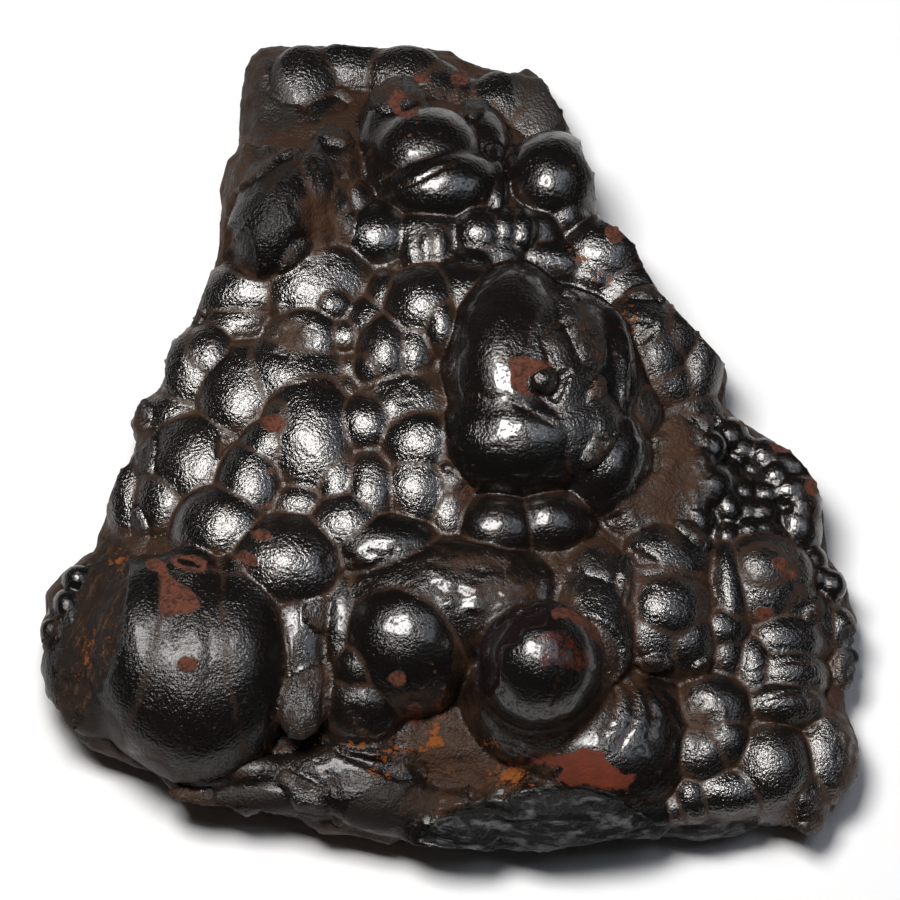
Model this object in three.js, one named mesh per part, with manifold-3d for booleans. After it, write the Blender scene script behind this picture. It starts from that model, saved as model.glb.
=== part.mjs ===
// Botryoidal hematite: one hand specimen of kidney ore lying on its flat broken back.
// A low bed of iron ore carries nearly two hundred lumps, from beads of 4 mm to two great lumps
// of 40 mm, grown into each other so that they meet in sharp creases. One ball of 22 mm stands
// nearly free on the bed, and a broken chunk sticks out of it at the far left.
//
// Millimetres, +Z up. The bed rests on Z = 0 and the origin lies under the middle of the specimen.
//
// The lumps were measured on a "face plane" that leans FACE_RISE above level: a place on it is
// [across, up], and with its height above the table it gives the place on the specimen.

import * as THREE from 'three';
import { ConvexGeometry } from 'three/addons/geometries/ConvexGeometry.js';
import { mergeVertices } from 'three/addons/utils/BufferGeometryUtils.js';
import Module from 'manifold-3d';

const radians = THREE.MathUtils.degToRad;
const { clamp, lerp } = THREE.MathUtils;

// Driving dimensions.
const FACE_RISE = radians(66);
const FOOTPRINT_MIDDLE = [0, -3.7];
const IRON_BLACK = { color: 0x2a211d, roughness: 0.34, metalness: 0.55 };

// The edge of the specimen on the face plane, clockwise from the far left corner.
const OUTLINE = [
  [-34.7, 72.7], [-30.6, 72.9], [-27, 72.7], [-21.1, 73.1], [-18, 72.7], [-14.4, 72.4], [-9.9, 72.9],
  [-5.4, 72.5], [0, 71.8], [3.6, 69.8], [7.2, 68.9], [9, 68.2], [11.2, 67.5], [14, 68.9], [16.2, 67.3],
  [17.5, 65.7], [19.4, 62.1], [20.3, 61], [21.1, 58.3], [23.4, 54.9], [23.9, 52.7], [25.9, 49],
  [26.3, 44.5], [27.2, 40.7], [30.2, 39.1], [33.3, 36], [34.9, 32], [36.9, 28.8], [39.2, 26.1],
  [41.6, 23.4], [44.1, 20.7], [47.2, 17.6], [49.9, 14.4], [50.4, 12.1], [49.9, 8.6], [49.9, 6.7],
  [53.1, 4.1], [57.6, 1.1], [61.2, -1.1], [64.1, -4.1], [65.7, -6.7], [67.1, -10.4], [67.9, -16.2],
  [68.2, -20], [70.2, -22.5], [72, -26.5], [73.4, -31.9], [72.4, -35.6], [74.2, -38.7], [72.4, -41.9],
  [70.9, -45.9], [71.3, -48.1], [73.3, -54], [73.3, -59.4], [71.1, -61.9], [69.5, -62.8],
  [68.8, -65.3], [66.2, -68.9], [63.9, -70], [61.2, -68], [55.8, -68.9], [48.6, -70.7], [45, -70.9],
  [37.8, -70.4], [30.6, -70.2], [23.4, -72], [12.6, -72.7], [5.4, -72.4], [-1.8, -72], [-6.3, -71.5],
  [-8.6, -70.4], [-10.8, -71.6], [-17.1, -70], [-23.4, -69.7], [-27, -66.8], [-31.5, -65.9],
  [-33.8, -65.3], [-36.5, -66.4], [-39.6, -64.4], [-44.1, -64.4], [-49.5, -63], [-52.2, -59.4],
  [-57.6, -57.1], [-63, -55.3], [-66.2, -53.5], [-68.8, -49.5], [-72, -44.6], [-73.6, -40.1],
  [-72.7, -36], [-74.2, -33.3], [-72.7, -30.6], [-72.7, -26.6], [-69.8, -22.9], [-67, -21.2],
  [-64.4, -19.3], [-63.5, -16.2], [-61.7, -10.8], [-59.4, -4.5], [-57.2, -2.7], [-56.7, 0.9],
  [-57.2, 4.1], [-55.6, 8.1], [-53.1, 9], [-51.5, 11.7], [-51.3, 15.3], [-50, 18.5], [-47.3, 20.9],
  [-45.5, 24.3], [-44.1, 28.8], [-42.3, 33.3], [-41.4, 43.2], [-41.8, 46.4], [-40.3, 51.7],
  [-38.9, 53.6], [-38.5, 55.8], [-38.2, 62.1], [-37.6, 67.5], [-36, 71.1],
];
const OUTLINE_MIDDLE = [0, -4.5];

// Height of the bed between the lumps: [across, up, height]. Between these it is their mean,
// weighted by nearness over BED_BLEND.
const BED_HEIGHTS = [
  [-36, 67.5, 15], [-16.2, 68.2, 14], [3.6, 66.4, 14], [17.1, 62.1, 14], [-1.8, 53.1, 25],
  [-18, 47.7, 24], [-32.4, 42.3, 22], [25.2, 45.9, 19], [9, 36.9, 26], [32.4, 31.5, 20],
  [-41.4, 22.5, 20], [-23.4, 20.7, 25], [-5.4, 20.7, 27], [16.2, 13.5, 28], [37.8, 17.1, 22],
  [47.7, 11.7, 17], [-50.4, 2.7, 17], [-28.8, 0.9, 25], [-5.4, -0.9, 26], [-57.6, -9.9, 14],
  [-41.4, -13.5, 24], [-19.8, -13.5, 26], [12.6, -11.7, 25], [41.4, -2.7, 21], [54, -0.9, 15],
  [55.8, -13.5, 17], [66.6, -13.5, 12], [-68.4, -26.1, 15], [-45, -35.1, 21], [-27, -27.9, 26],
  [-1.8, -26.1, 27], [19.8, -27.9, 26], [37.8, -20.7, 22], [52.2, -27.9, 18], [66.6, -27.9, 12],
  [72, -35.1, 9], [-70.2, -44.1, 13], [-19.8, -58.9, 12.5], [0, -61.7, 12.5], [-37.8, -59.4, 10],
  [-54, -56.7, 11], [-36, -53.1, 14], [-16.2, -52.2, 19], [0, -53.1, 16.5], [19.8, -54, 18],
  [36, -53.1, 18], [52.2, -45.9, 17], [66.6, -47.7, 12], [70.2, -58.5, 9], [-48.6, -62.1, 8],
  [-27, -65.7, 10], [-5.4, -67.5, 9], [16.2, -69.3, 9], [37.8, -65.7, 10], [59.4, -63.9, 10],
];
const BED_BLEND = 7.2;
const BED_SOFTNESS = 0.35;
const BED_SHARPNESS = 1.6;
const TYPICAL_HEIGHT = 22;

// The bed's edge: rounded over EDGE_ROLL down to RIM_SHARE of its height, then turned in to a foot
// that is cut off on the table.
const EDGE_ROLL = 9;
const RIM_SHARE = 0.55;
const FOOT_SHARE = 0.92;
const FOOT_DEPTH = 4;
const OVERHANG = 0.8;

// Lumps, each grown on what stands before it in the list:
// [across, up, half width, half length, turn in degrees, bulge as a share of its half size,
//  raise above its seat (0 if left out), lean with the slope it grows on (1 if left out)].
const LUMPS = {
  greatLump: [
    [18.7, 9.5, 17.3, 19.1, 0, 0.5, 0, 0.5], [10.3, 13.9, 12.1, 18.7, 0, 0.56, 0, 0.5],
    [12.1, 0.5, 13.9, 10.1, 0, 0.52, 0, 0.7], [29.2, -2.7, 7.6, 9, -8, 0.55, 0, 0.7],
    [31.1, 15.3, 2.9, 6.8, 6, 0.4],
  ],
  swirl: [
    [19.8, 18, 7.9, 6.8, 0, 0.22], [20, 18, 2, 1.8, 0, 0.22], [16.7, 11.5, 2.5, 2.5, 0, 0.8],
    [23, 9.5, 5.4, 5.4, 0, 0.25], [24.1, 2.7, 6.8, 6.1, 0, 0.25], [21.1, 25.4, 2.5, 1.8, 30, 0.2],
    [28.1, 4.9, 2.9, 3.1, 0, 0.3],
  ],
  barrel: [
    [-64.8, -37.8, 7.6, 11.2, 10, 0.3, 0, 0.6], [-60.8, -27.9, 5.4, 7.9, 0, 0.3, 0, 0.6],
    [-54.7, -36.9, 10.8, 16.7, 0, 0.84, 0, 0.2], [-37.6, -37.1, 9.5, 16.7, 0, 0.68, 0, 0.2],
    [-46.1, -37.1, 14, 16.6, 0, 0.4, 0, 0.2], [-47.2, -21.4, 5.8, 2.9, 0, 0.35, 0, 0.7],
    [-36, -22.1, 5.8, 4, 0, 0.3, 0, 0.7],
  ],
  middle: [
    [-11.7, -18, 9.7, 5.8, 0, 0.35], [0.4, -27.5, 20.2, 11.2, 0, 0.33, 0, 0.4],
    [-26.3, -37.8, 5.4, 13, 0, 0.2, 0, 0.7], [-18.9, -32.4, 4, 9, 0, 0.3, 0, 0.5],
    [-8.1, -35.5, 11.5, 11.9, 0, 0.5, 0, 0.6], [-17.3, -41.2, 4.3, 4.7, 0, 0.4],
    [-16.6, -47, 7.6, 7.6, 0, 0.5], [-6.3, -44.1, 4.3, 3.6, 0, 0.35],
    [9, -14.2, 7.4, 5.8, 0, 0.5, 0, 0.4], [18.5, -13.5, 7.2, 5.8, 0, 0.42, 0, 0.4],
    [28.1, -51.3, 15.1, 13, 10, 0.36, 0, 0.4], [16.7, -42.7, 14.2, 13.5, 0, 0.6, 0, 0.3],
    [16, -40.7, 11.3, 10.8, 0, 1, 3.2, 0],
  ],
  brokenLump: [
    [-30.6, 40.1, 8.3, 11.9, -25, 0.6, 3, 0.3],
  ],
  topRow: [
    [-26.1, 66.8, 5.6, 5.6, 0, 0.22], [-17.6, 68.9, 6.8, 4.3, 0, 0.18],
    [-21.6, 61.4, 4.3, 4.3, 0, 0.15], [-8.6, 67.9, 6.5, 4.7, 0, 0.22], [-2.2, 65.3, 5, 4.7, 0, 0.22],
    [3.6, 62.5, 5, 4.3, 0, 0.22], [-8.3, 62.3, 4, 2.9, 0, 0.22], [10.1, 62.8, 6.1, 5, 0, 0.2],
    [15.8, 59.9, 5.4, 6.5, 0, 0.2],
  ],
  crown: [
    [-9.7, 53.8, 7.2, 11.7, 0, 0.35, 0, 0.6], [-4, 53.1, 10.2, 8.5, 10, 0.58, 0, 0.7],
    [-0.4, 46.6, 10.4, 7, 4, 0.55], [6.5, 56, 5.1, 5.1, 0, 0.5, 0, 0.7],
    [18.4, 47.7, 9.3, 8.9, 0, 0.8, 0, 0.4], [9, 46.6, 1.9, 3.8, 0, 0.4],
  ],
  saddle: [
    [-17.3, 43.6, 4.2, 4.5, 0, 0.45], [-13.3, 38, 6.8, 6.2, 0, 0.5], [-3.2, 37.3, 7.9, 5.5, 0, 0.4],
    [-6.7, 34.7, 2.3, 3.8, 0, 0.4], [-4, 35.3, 2.1, 3.8, 0, 0.4], [-1.6, 35.6, 2.1, 3.8, 0, 0.4],
    [5.4, 38.2, 4.9, 4.9, 0, 0.55], [10.3, 39.4, 3, 3.2, 0, 0.5], [13.7, 39.4, 2.8, 3, 0, 0.5],
    [18, 38.7, 4.2, 3.2, 10, 0.4], [22.1, 40.7, 3.6, 3.2, 0, 0.45], [28.4, 34.7, 8.5, 6.8, -15, 0.5],
    [32.8, 28.3, 6.4, 5.5, 0, 0.3], [19.8, 32.9, 7.2, 3.8, -10, 0.35], [0.4, 28.6, 7.6, 5.7, 0, 0.4],
    [8.5, 34.6, 4.7, 3, 0, 0.3], [3.6, 33.5, 3.4, 2.8, 0, 0.35], [26.1, 30.1, 4.7, 3, -20, 0.25],
  ],
  shoulder: [
    [-20.9, 51.3, 5, 5.4, 0, 0.35], [-23.8, 47.7, 3.6, 4.5, 0, 0.35], [-20.5, 43.2, 4.5, 4.5, 0, 0.4],
    [-23.4, 36.9, 5, 5, 0, 0.35], [-18.7, 39.1, 3.1, 3.6, 0, 0.35],
  ],
  leftField: [
    [-37.8, 25.9, 8.6, 6.5, 10, 0.42], [-39.6, 20.9, 7.3, 4.3, 15, 0.42],
    [-46.1, 12.8, 6.5, 7.8, 0, 0.4], [-38.2, 9.5, 8.2, 9.1, 0, 0.4], [-27.5, 13.1, 9.9, 6.9, -15, 0.3],
    [-24.7, 2, 8.9, 11.7, 4, 0.36], [-31.5, 4.5, 2.6, 2.6, 0, 0.3], [-34.2, -0.2, 4.8, 3.9, 0, 0.45],
    [-36.5, -6.7, 6.3, 7.1, 0, 0.45], [-19.3, -6.7, 3.9, 5.2, 0, 0.3], [-42.1, -13.9, 8, 6.5, 0, 0.4],
    [-47.9, -3.1, 11, 9.1, -10, 0.42], [-50.8, 5.4, 6.9, 4.3, 0, 0.35],
    [-53.3, -10.8, 5.4, 5.6, 0, 0.35], [-58.3, -9.4, 4.3, 6.9, 0, 0.35],
    [-19.4, -13.1, 5.8, 4.8, 0, 0.3], [-13.7, -6.3, 4.8, 6.7, 0, 0.4], [-5.6, -7.2, 6.3, 7.1, 0, 0.4],
    [-9, 6.7, 9.9, 7.8, 0, 0.3], [-15.1, 4.1, 5.2, 5, 0, 0.42], [-5.9, 0.5, 7.3, 6, 0, 0.4],
    [0, -7.7, 3.5, 7.3, 0, 0.2], [-27.7, -10.3, 4.3, 3, 0, 0.3], [0, -12.1, 3.5, 4.8, 0, 0.3],
    [-23, 28.6, 9.1, 7.8, 0, 0.25], [-20.7, 25.2, 3, 2.8, 0, 0.4], [-18.9, 19.8, 3.2, 2.8, 0, 0.4],
    [-11.9, 17.5, 5.2, 6.7, 0, 0.5], [-5.9, 17.5, 3.7, 5.4, 0, 0.5], [-5.4, 26.1, 7.3, 6.5, 0, 0.5],
    [-1.8, 21.1, 3, 4.8, 0, 0.5], [-12.6, 28.1, 3.2, 3, 0, 0.4], [-18, 13.3, 2.8, 2.8, 0, 0.35],
    [-15.1, 13.5, 2.6, 2.6, 0, 0.35], [-18.5, 10.3, 3, 2.6, 0, 0.35], [-27, 20.3, 6, 4.8, 0, 0.3],
    [-15.3, 23.6, 3.9, 3.7, 0, 0.35], [-43.7, 18, 3.9, 3.9, 0, 0.3], [-29, -20.3, 9.9, 8.2, 0, 0.4],
  ],
  rightSlope: [
    [38.2, 18.5, 5.4, 7.4, 0, 0.4], [41.4, 10.4, 5.8, 4, 0, 0.4], [45.7, 14.9, 4.5, 7.7, -12, 0.5],
    [35.1, 6.3, 3.8, 3.6, 0, 0.35], [35.1, 23.9, 5, 4, 0, 0.3], [35.6, -11.7, 7.4, 6.7, 0, 0.3],
    [42.1, 21.1, 3.4, 3.6, 0, 0.35], [44.6, 6.3, 4.5, 3.4, 0, 0.3], [43.2, 0.9, 4.5, 5.4, 0, 0.15],
    [40.5, -6.3, 5.4, 7.7, 0, 0.15],
  ],
  grapes: [
    [47.7, -0.4, 2.8, 2.6, 0, 0.6], [51.3, 1.8, 3, 2.8, 0, 0.5], [53.5, -1.3, 3, 2.8, 0, 0.5],
    [47.7, -7.2, 5, 3.8, 0, 0.5], [50.6, -11.9, 3, 3.4, 0, 0.6], [50, -16.6, 2.6, 3, 0, 0.6],
    [54, -15.8, 2.8, 2.8, 0, 0.6], [53.6, -8.1, 2.8, 2.6, 0, 0.5], [57.2, -8.5, 2.6, 2.6, 0, 0.5],
    [54, -11.5, 2.6, 2.4, 0, 0.5], [56.9, -12.1, 2.6, 2.4, 0, 0.5], [57.1, -15.5, 2.6, 2.6, 0, 0.5],
    [59, -18, 2.6, 2.6, 0, 0.5], [62.3, -8.5, 4.8, 3.6, 0, 0.55], [63.4, -14.9, 4.4, 5, 0, 0.6],
    [59.9, -3.1, 5.2, 3, -10, 0.35], [58.1, -5, 2.8, 2.6, 0, 0.4], [56.5, -1.3, 2.6, 2.6, 0, 0.4],
    [65.7, -20.7, 2.4, 2.4, 0, 0.45], [66.6, -23.8, 2.6, 2.4, 0, 0.45], [69.1, -25, 2.2, 2.4, 0, 0.45],
    [45, -3.1, 2.6, 2.6, 0, 0.4], [44.5, -9.9, 2.6, 2.6, 0, 0.4], [45.5, -13.5, 2.6, 2.8, 0, 0.4],
    [64.8, -10.8, 2.8, 2.4, 0, 0.4], [60.8, -20.7, 2.8, 2.6, 0, 0.45], [51.3, -4.5, 2.4, 2.2, 0, 0.4],
  ],
  lowerRight: [
    [49.9, -26.1, 3.8, 8.9, 5, 0.62], [57.6, -24.3, 8.5, 8.1, 0, 0.5], [56.3, -21.8, 4.2, 3.8, 0, 0.3],
    [62.5, -23.8, 3.8, 4.2, 0, 0.3], [38.5, -30.1, 9.8, 11.5, 0, 0.42],
    [31.3, -29, 2.1, 7.6, 0, 0.5, 1.4], [43.2, -36, 5.5, 5.5, 0, 0.4], [36.4, -35.5, 5.1, 5.1, 0, 0.3],
    [62.6, -29.2, 4.9, 4.2, 0, 0.3], [60.5, -35.5, 7.4, 5.5, 0, 0.62, 0, 0.8],
    [61, -41.4, 7.4, 5.3, 0, 0.6, 0, 0.8], [60.1, -46.8, 8.1, 4.5, 0, 0.6, 0, 0.8],
    [50, -33.3, 4.2, 3.6, 0, 0.4], [50, -38.7, 3.6, 4.5, 0, 0.45], [54.4, -39.6, 3.4, 5.9, 0, 0.45],
    [44.5, -28.4, 2.8, 2.8, 0, 0.25], [39.2, -28.6, 5.3, 4.9, 0, 0.35, 0.4],
    [27, -28.8, 7.2, 9.8, 0, 0.35], [39.6, -18.9, 7.2, 5.5, 0, 0.3], [47.5, -46.6, 7, 5.9, 0, 0.45],
    [45.7, -55.6, 5.1, 5.1, 0, 0.45], [50, -53.3, 4.2, 4.2, 0, 0.45], [58.5, -58.1, 7.6, 7.9, 0, 0.55],
    [64.4, -63.4, 4, 5.7, 0, 0.4], [68.4, -55.3, 4.9, 6.6, 0, 0.3], [49.5, -62.8, 6.8, 4.2, 0, 0.42],
    [43.2, -63.9, 3.2, 4, 10, 0.55], [40, -65.7, 3.2, 3, 0, 0.55], [70.2, -33.3, 2.8, 3.8, 0, 0.4],
    [70.7, -39.8, 2.3, 3.4, 0, 0.4], [67.3, -32.2, 3.8, 4.7, 0, 0.3],
  ],
  foot: [
    [-42.1, -58.9, 6, 2.6, 0, 0.3], [-33.1, -59.2, 6, 3, 0, 0.3], [-19.4, -59.9, 12.5, 6, 5, 0.22],
    [-36.9, -63.4, 12.1, 3, 4, 0.25], [-10.4, -64.4, 10.8, 4.8, -10, 0.25],
    [0.9, -67.9, 8.6, 5.6, 8, 0.3], [21.6, -66.4, 16.4, 6.5, 0, 0.32],
  ],
  leftTip: [
    [-67, -23.9, 2.5, 2.2, 0, 0.6], [-69.1, -28.3, 2.3, 2.3, 0, 0.6], [-72, -32.9, 1.8, 1.8, 0, 0.5],
  ],
};
const SEAT_SAMPLES = 8;
const SEAT_ROUNDS = 10;
const LEAST_UPRIGHT = 0.8;
const LEAST_SHORTENING = 0.6;
const LOW_BULGE = 0.55;
const CAP_SPREAD = 1.2;

// The broken chunk at the far left: corners as [across, up, height].
const BROKEN_CHUNK = [
  [-41, 32.9, 18], [-37.8, 39.6, 25], [-33.8, 46.8, 27.5], [-27, 53.8, 28.5], [-24.8, 51.3, 27],
  [-27, 44.1, 25], [-29.7, 36.9, 22], [-33.8, 29.7, 18], [-40, 37.8, 21], [-40.3, 47.7, 20],
  [-37.8, 54.9, 22], [-32.4, 41.4, 4], [-36, 49.5, 4], [-27, 44.1, 4],
];

// The skin: faces of about 2.5 mm, and nothing thinner than THINNEST_LUMP is raised in it.
const SKIN_DETAIL = 20;
const THINNEST_LUMP = 2.1;
const BALL_SIDES = 22;
const TOP_ANGLE = radians(125);
const FOOT_TURN = 0.25;
const FACE_LEAN = radians(17);
const EDGE_TILT = radians(75);
const FOOT_TILT = radians(105);
const CORE_DEPTH = 8;
const AIR_GAP = 3;
const EVENING_ROUNDS = 30;
const EVENING = 0.5;
const STRONGEST_PULL = 8;
const CREASE_STEPS = 7;
const CREASE_REACH = 0.5;
const REACH = 400;
const SAME_PLACE = 1e-4;

const COS = Math.cos(FACE_RISE);
const SIN = Math.sin(FACE_RISE);

function fromFace(across, up, height) {
  return new THREE.Vector3(across, (up - height * COS) / SIN, height);
}

function upOnFace(y, height) {
  return y * SIN + height * COS;
}

function bedHeight(across, up) {
  let weights = 0;
  let total = 0;
  for (const [a, u, height] of BED_HEIGHTS) {
    const far = ((across - a) ** 2 + (up - u) ** 2) / BED_BLEND ** 2;
    const weight = (far + BED_SOFTNESS) ** -BED_SHARPNESS;
    weights += weight;
    total += weight * height;
  }
  return total / weights;
}

// The stretch of a ray inside a lump, as distances along the ray.
function stretchInside(lump, origin, direction) {
  const offset = origin.clone().sub(lump.centre);
  const ahead = offset.dot(direction);
  if (offset.lengthSq() - ahead * ahead > lump.reach ** 2) return null;
  const start = offset.applyMatrix3(lump.toUnit);
  const step = direction.clone().applyMatrix3(lump.toUnit);
  const a = step.lengthSq();
  const b = start.dot(step);
  const inside = b * b - a * (start.lengthSq() - 1);
  if (inside <= 0) return null;
  return [(-b - Math.sqrt(inside)) / a, (-b + Math.sqrt(inside)) / a];
}

// Height of the surface so far, straight above a point: the bed or the highest lump there.
function surfaceHeight(x, y, grown) {
  const point = new THREE.Vector3(x, y, 0);
  const straightUp = new THREE.Vector3(0, 0, 1);
  const tops = grown.map((lump) => stretchInside(lump, point, straightUp)?.[1] ?? 0);
  return Math.max(bedHeight(x, upOnFace(y, TYPICAL_HEIGHT)), ...tops);
}

// Where a lump sits: the mean height of its foot, and the direction it grows in.
function seatOf({ across, up, halfWidth, halfLength, turn, lean }, grown) {
  let height = bedHeight(across, up);
  for (let round = 0; round < SEAT_ROUNDS; round += 1) {
    const { x, y } = fromFace(across, up, height);
    height = (height + surfaceHeight(x, y, grown)) / 2;
  }
  const middle = fromFace(across, up, height);
  const foot = Array.from({ length: SEAT_SAMPLES }, (_, k) => {
    const angle = (2 * Math.PI * k) / SEAT_SAMPLES;
    const offset = new THREE.Vector2(halfWidth * Math.cos(angle), halfLength * Math.sin(angle));
    offset.rotateAround(new THREE.Vector2(), turn);
    const [x, y] = [offset.x, offset.y / SIN];
    return [x, y, surfaceHeight(middle.x + x, middle.y + y, grown)];
  });
  const sum = (term) => foot.reduce((total, sample) => total + term(sample), 0);
  const level = sum(([, , z]) => z) / SEAT_SAMPLES;
  const slopeX = sum(([x, , z]) => x * (z - level)) / sum(([x]) => x * x);
  const slopeY = sum(([, y, z]) => y * (z - level)) / sum(([, y]) => y * y);
  const grow = new THREE.Vector3(-slopeX * lean, -slopeY * lean, 1).normalize();
  if (grow.z < LEAST_UPRIGHT) {
    const flat = Math.sqrt((1 - LEAST_UPRIGHT ** 2) / (grow.x ** 2 + grow.y ** 2));
    grow.set(grow.x * flat, grow.y * flat, LEAST_UPRIGHT);
  }
  return { level: Math.min(level, height), grow };
}

// Half axes of the ball that shows as a cap of the given foot and height, and how far its middle
// lies above the foot.
function capAxes(halfWidth, halfLength, bulge) {
  const size = Math.sqrt(halfWidth * halfLength);
  const rise = bulge * size;
  if (bulge < LOW_BULGE) {
    const depth = rise / (1 - Math.sqrt(1 - 1 / CAP_SPREAD ** 2));
    return { axes: [halfWidth * CAP_SPREAD, halfLength * CAP_SPREAD, depth], middle: rise - depth };
  }
  if (bulge >= 1) return { axes: [halfWidth, halfLength, rise], middle: 0 };
  const radius = (size ** 2 + rise ** 2) / (2 * rise);
  const widening = radius / size;
  return {
    axes: [halfWidth * widening, halfLength * widening, radius],
    middle: rise - radius,
  };
}

function placeLump([across, up, halfWidth, halfLength, degrees, bulge, raise = 0, lean = 1], grown) {
  const turn = radians(degrees);
  const { level, grow } = seatOf({ across, up, halfWidth, halfLength, turn, lean }, grown);
  const shortening = Math.max(LEAST_SHORTENING, SIN * grow.z - COS * grow.y);
  const { axes, middle } = capAxes(halfWidth, halfLength / shortening, bulge);
  const centre = fromFace(across, up, level).addScaledVector(grow, raise + middle);
  const side = new THREE.Vector3(1, 0, 0).addScaledVector(grow, -grow.x).normalize();
  const wide = side.applyAxisAngle(grow, turn);
  const long = new THREE.Vector3().crossVectors(grow, wide);
  const pose = new THREE.Matrix4().makeBasis(wide, long, grow).setPosition(centre);
  pose.scale(new THREE.Vector3(...axes));
  return {
    centre,
    pose,
    toUnit: new THREE.Matrix3().setFromMatrix4(pose).invert(),
    reach: Math.max(...axes),
    loose: bulge >= 1,
    thin: Math.min(halfWidth, halfLength) < THINNEST_LUMP,
  };
}

function growLumps() {
  const grown = [];
  for (const row of Object.values(LUMPS).flat()) grown.push(placeLump(row, grown));
  return grown;
}

// Where the skin's edge lies in a direction round its middle: just outside the outline, to which
// it is trimmed later.
function edgeAt(azimuth) {
  const [middleAcross, middleUp] = OUTLINE_MIDDLE;
  const turned = OUTLINE.map(([across, up]) => (
    new THREE.Vector2(across - middleAcross, up - middleUp).rotateAround(new THREE.Vector2(), -azimuth)
  ));
  for (let i = 0; i < turned.length; i += 1) {
    const from = turned[i];
    const to = turned[(i + 1) % turned.length];
    const crosses = (from.y > 0) !== (to.y > 0);
    const outline = crosses ? lerp(from.x, to.x, from.y / (from.y - to.y)) : 0;
    if (outline > 0) {
      const reach = outline + OVERHANG;
      return [middleAcross + reach * Math.cos(azimuth), middleUp + reach * Math.sin(azimuth)];
    }
  }
  throw new Error('the outline is open');
}

// One place on the top of the bed, from its middle (share 0) to its edge (1), and how far the skin
// has turned over there.
function bedTop([edgeAcross, edgeUp], share) {
  const [middleAcross, middleUp] = OUTLINE_MIDDLE;
  const across = lerp(middleAcross, edgeAcross, share);
  const up = lerp(middleUp, edgeUp, share);
  const inward = (1 - share) * Math.hypot(edgeAcross - middleAcross, edgeUp - middleUp);
  const over = 1 - Math.min(inward / EDGE_ROLL, 1);
  const height = bedHeight(across, up) * lerp(RIM_SHARE, 1, Math.sqrt(1 - over ** 2));
  return { point: fromFace(across, up, height), tilt: EDGE_TILT * over };
}

// A direction `tilt` from the way up, over towards `radial`. The way up leans to the face.
function leaning(radial, tilt) {
  const up = new THREE.Vector3(0, -Math.sin(FACE_LEAN), Math.cos(FACE_LEAN));
  return up.multiplyScalar(Math.cos(tilt)).addScaledVector(radial, Math.sin(tilt)).normalize();
}

// The bed's skin in a direction from its core: the top down to the edge, then the foot turned in
// below the table. `outward` is the way lumps push the skin.
function bedSkin(direction) {
  const fromTop = Math.acos(clamp(direction.z, -1, 1));
  const azimuth = Math.atan2(direction.y, direction.x);
  const edge = edgeAt(azimuth);
  const radial = new THREE.Vector3(Math.cos(azimuth), Math.sin(azimuth), 0);
  const share = Math.min(Math.sin(fromTop / 2) / Math.sin(TOP_ANGLE / 2), 1);
  const { point, tilt } = bedTop(edge, share);
  if (fromTop <= TOP_ANGLE) return { point, outward: leaning(radial, tilt) };
  const below = (fromTop - TOP_ANGLE) / (Math.PI - TOP_ANGLE);
  const turn = Math.min(below / FOOT_TURN, 1);
  const inner = FOOT_SHARE * (1 - (below - FOOT_TURN * turn) / (1 - FOOT_TURN));
  const foot = bedTop(edge, 0).point.lerp(point, lerp(1, inner, turn));
  foot.z = lerp(point.z, -FOOT_DEPTH, turn);
  const outward = leaning(radial, lerp(EDGE_TILT, FOOT_TILT, turn));
  return { point: foot, outward, buried: turn === 1 };
}

// The skin of the specimen in a direction from its core: the bed's skin, pushed out to the far side
// of every lump that stands on it there. `owner` is the lump that shows.
function skinAt(direction, lumps) {
  const { point, outward, buried } = bedSkin(direction);
  if (buried) return { point, owner: -1 };
  const core = point.clone().addScaledVector(outward, -CORE_DEPTH);
  const stretches = [];
  lumps.forEach((lump, index) => {
    const stretch = stretchInside(lump, core, outward);
    if (stretch) stretches.push([...stretch, index]);
  });
  stretches.sort((one, other) => one[0] - other[0]);
  let reached = CORE_DEPTH;
  let owner = -1;
  for (const [enter, leave, index] of stretches) {
    if (leave > reached && enter < reached + AIR_GAP) {
      reached = leave;
      owner = index;
    }
  }
  return { point: core.addScaledVector(outward, reached), owner };
}

function neighboursOf(index, count) {
  const neighbours = Array.from({ length: count }, () => new Set());
  for (let i = 0; i < index.length; i += 3) {
    const [a, b, c] = index.slice(i, i + 3);
    neighbours[a].add(b).add(c);
    neighbours[b].add(c).add(a);
    neighbours[c].add(a).add(b);
  }
  return neighbours;
}

// Directions drawn towards their farther neighbours, so that the skin's faces become much alike.
function evenOut(directions, neighbours, lumps) {
  const points = directions.map((direction) => skinAt(direction, lumps).point);
  return directions.map((direction, i) => {
    const pull = new THREE.Vector3();
    let pulls = 0;
    for (const j of neighbours[i]) {
      const far = Math.min(points[i].distanceTo(points[j]), STRONGEST_PULL);
      pull.addScaledVector(directions[j], far).addScaledVector(direction, -far);
      pulls += far;
    }
    return direction.clone().addScaledVector(pull, EVENING / pulls).normalize();
  });
}

// How far it is from one direction to the next before another lump shows, as a share.
function creaseBetween(from, to, owner, lumps) {
  let [near, far] = [0, 1];
  for (let i = 0; i < CREASE_STEPS; i += 1) {
    const middle = (near + far) / 2;
    const direction = from.clone().lerp(to, middle).normalize();
    if (skinAt(direction, lumps).owner === owner) near = middle;
    else far = middle;
  }
  return near;
}

// The same direction, or one next to it on a crease if that is near.
function ontoCrease(i, directions, neighbours, owners, lumps) {
  let nearest = CREASE_REACH;
  let target = directions[i];
  for (const j of neighbours[i]) {
    if (owners[j] === owners[i]) continue;
    const share = creaseBetween(directions[i], directions[j], owners[i], lumps);
    if (share < nearest) {
      nearest = share;
      target = directions[i].clone().lerp(directions[j], share).normalize();
    }
  }
  return target;
}

function withoutExtras(geometry) {
  const bare = geometry.clone();
  bare.deleteAttribute('normal');
  bare.deleteAttribute('uv');
  return mergeVertices(bare, SAME_PLACE);
}

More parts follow.
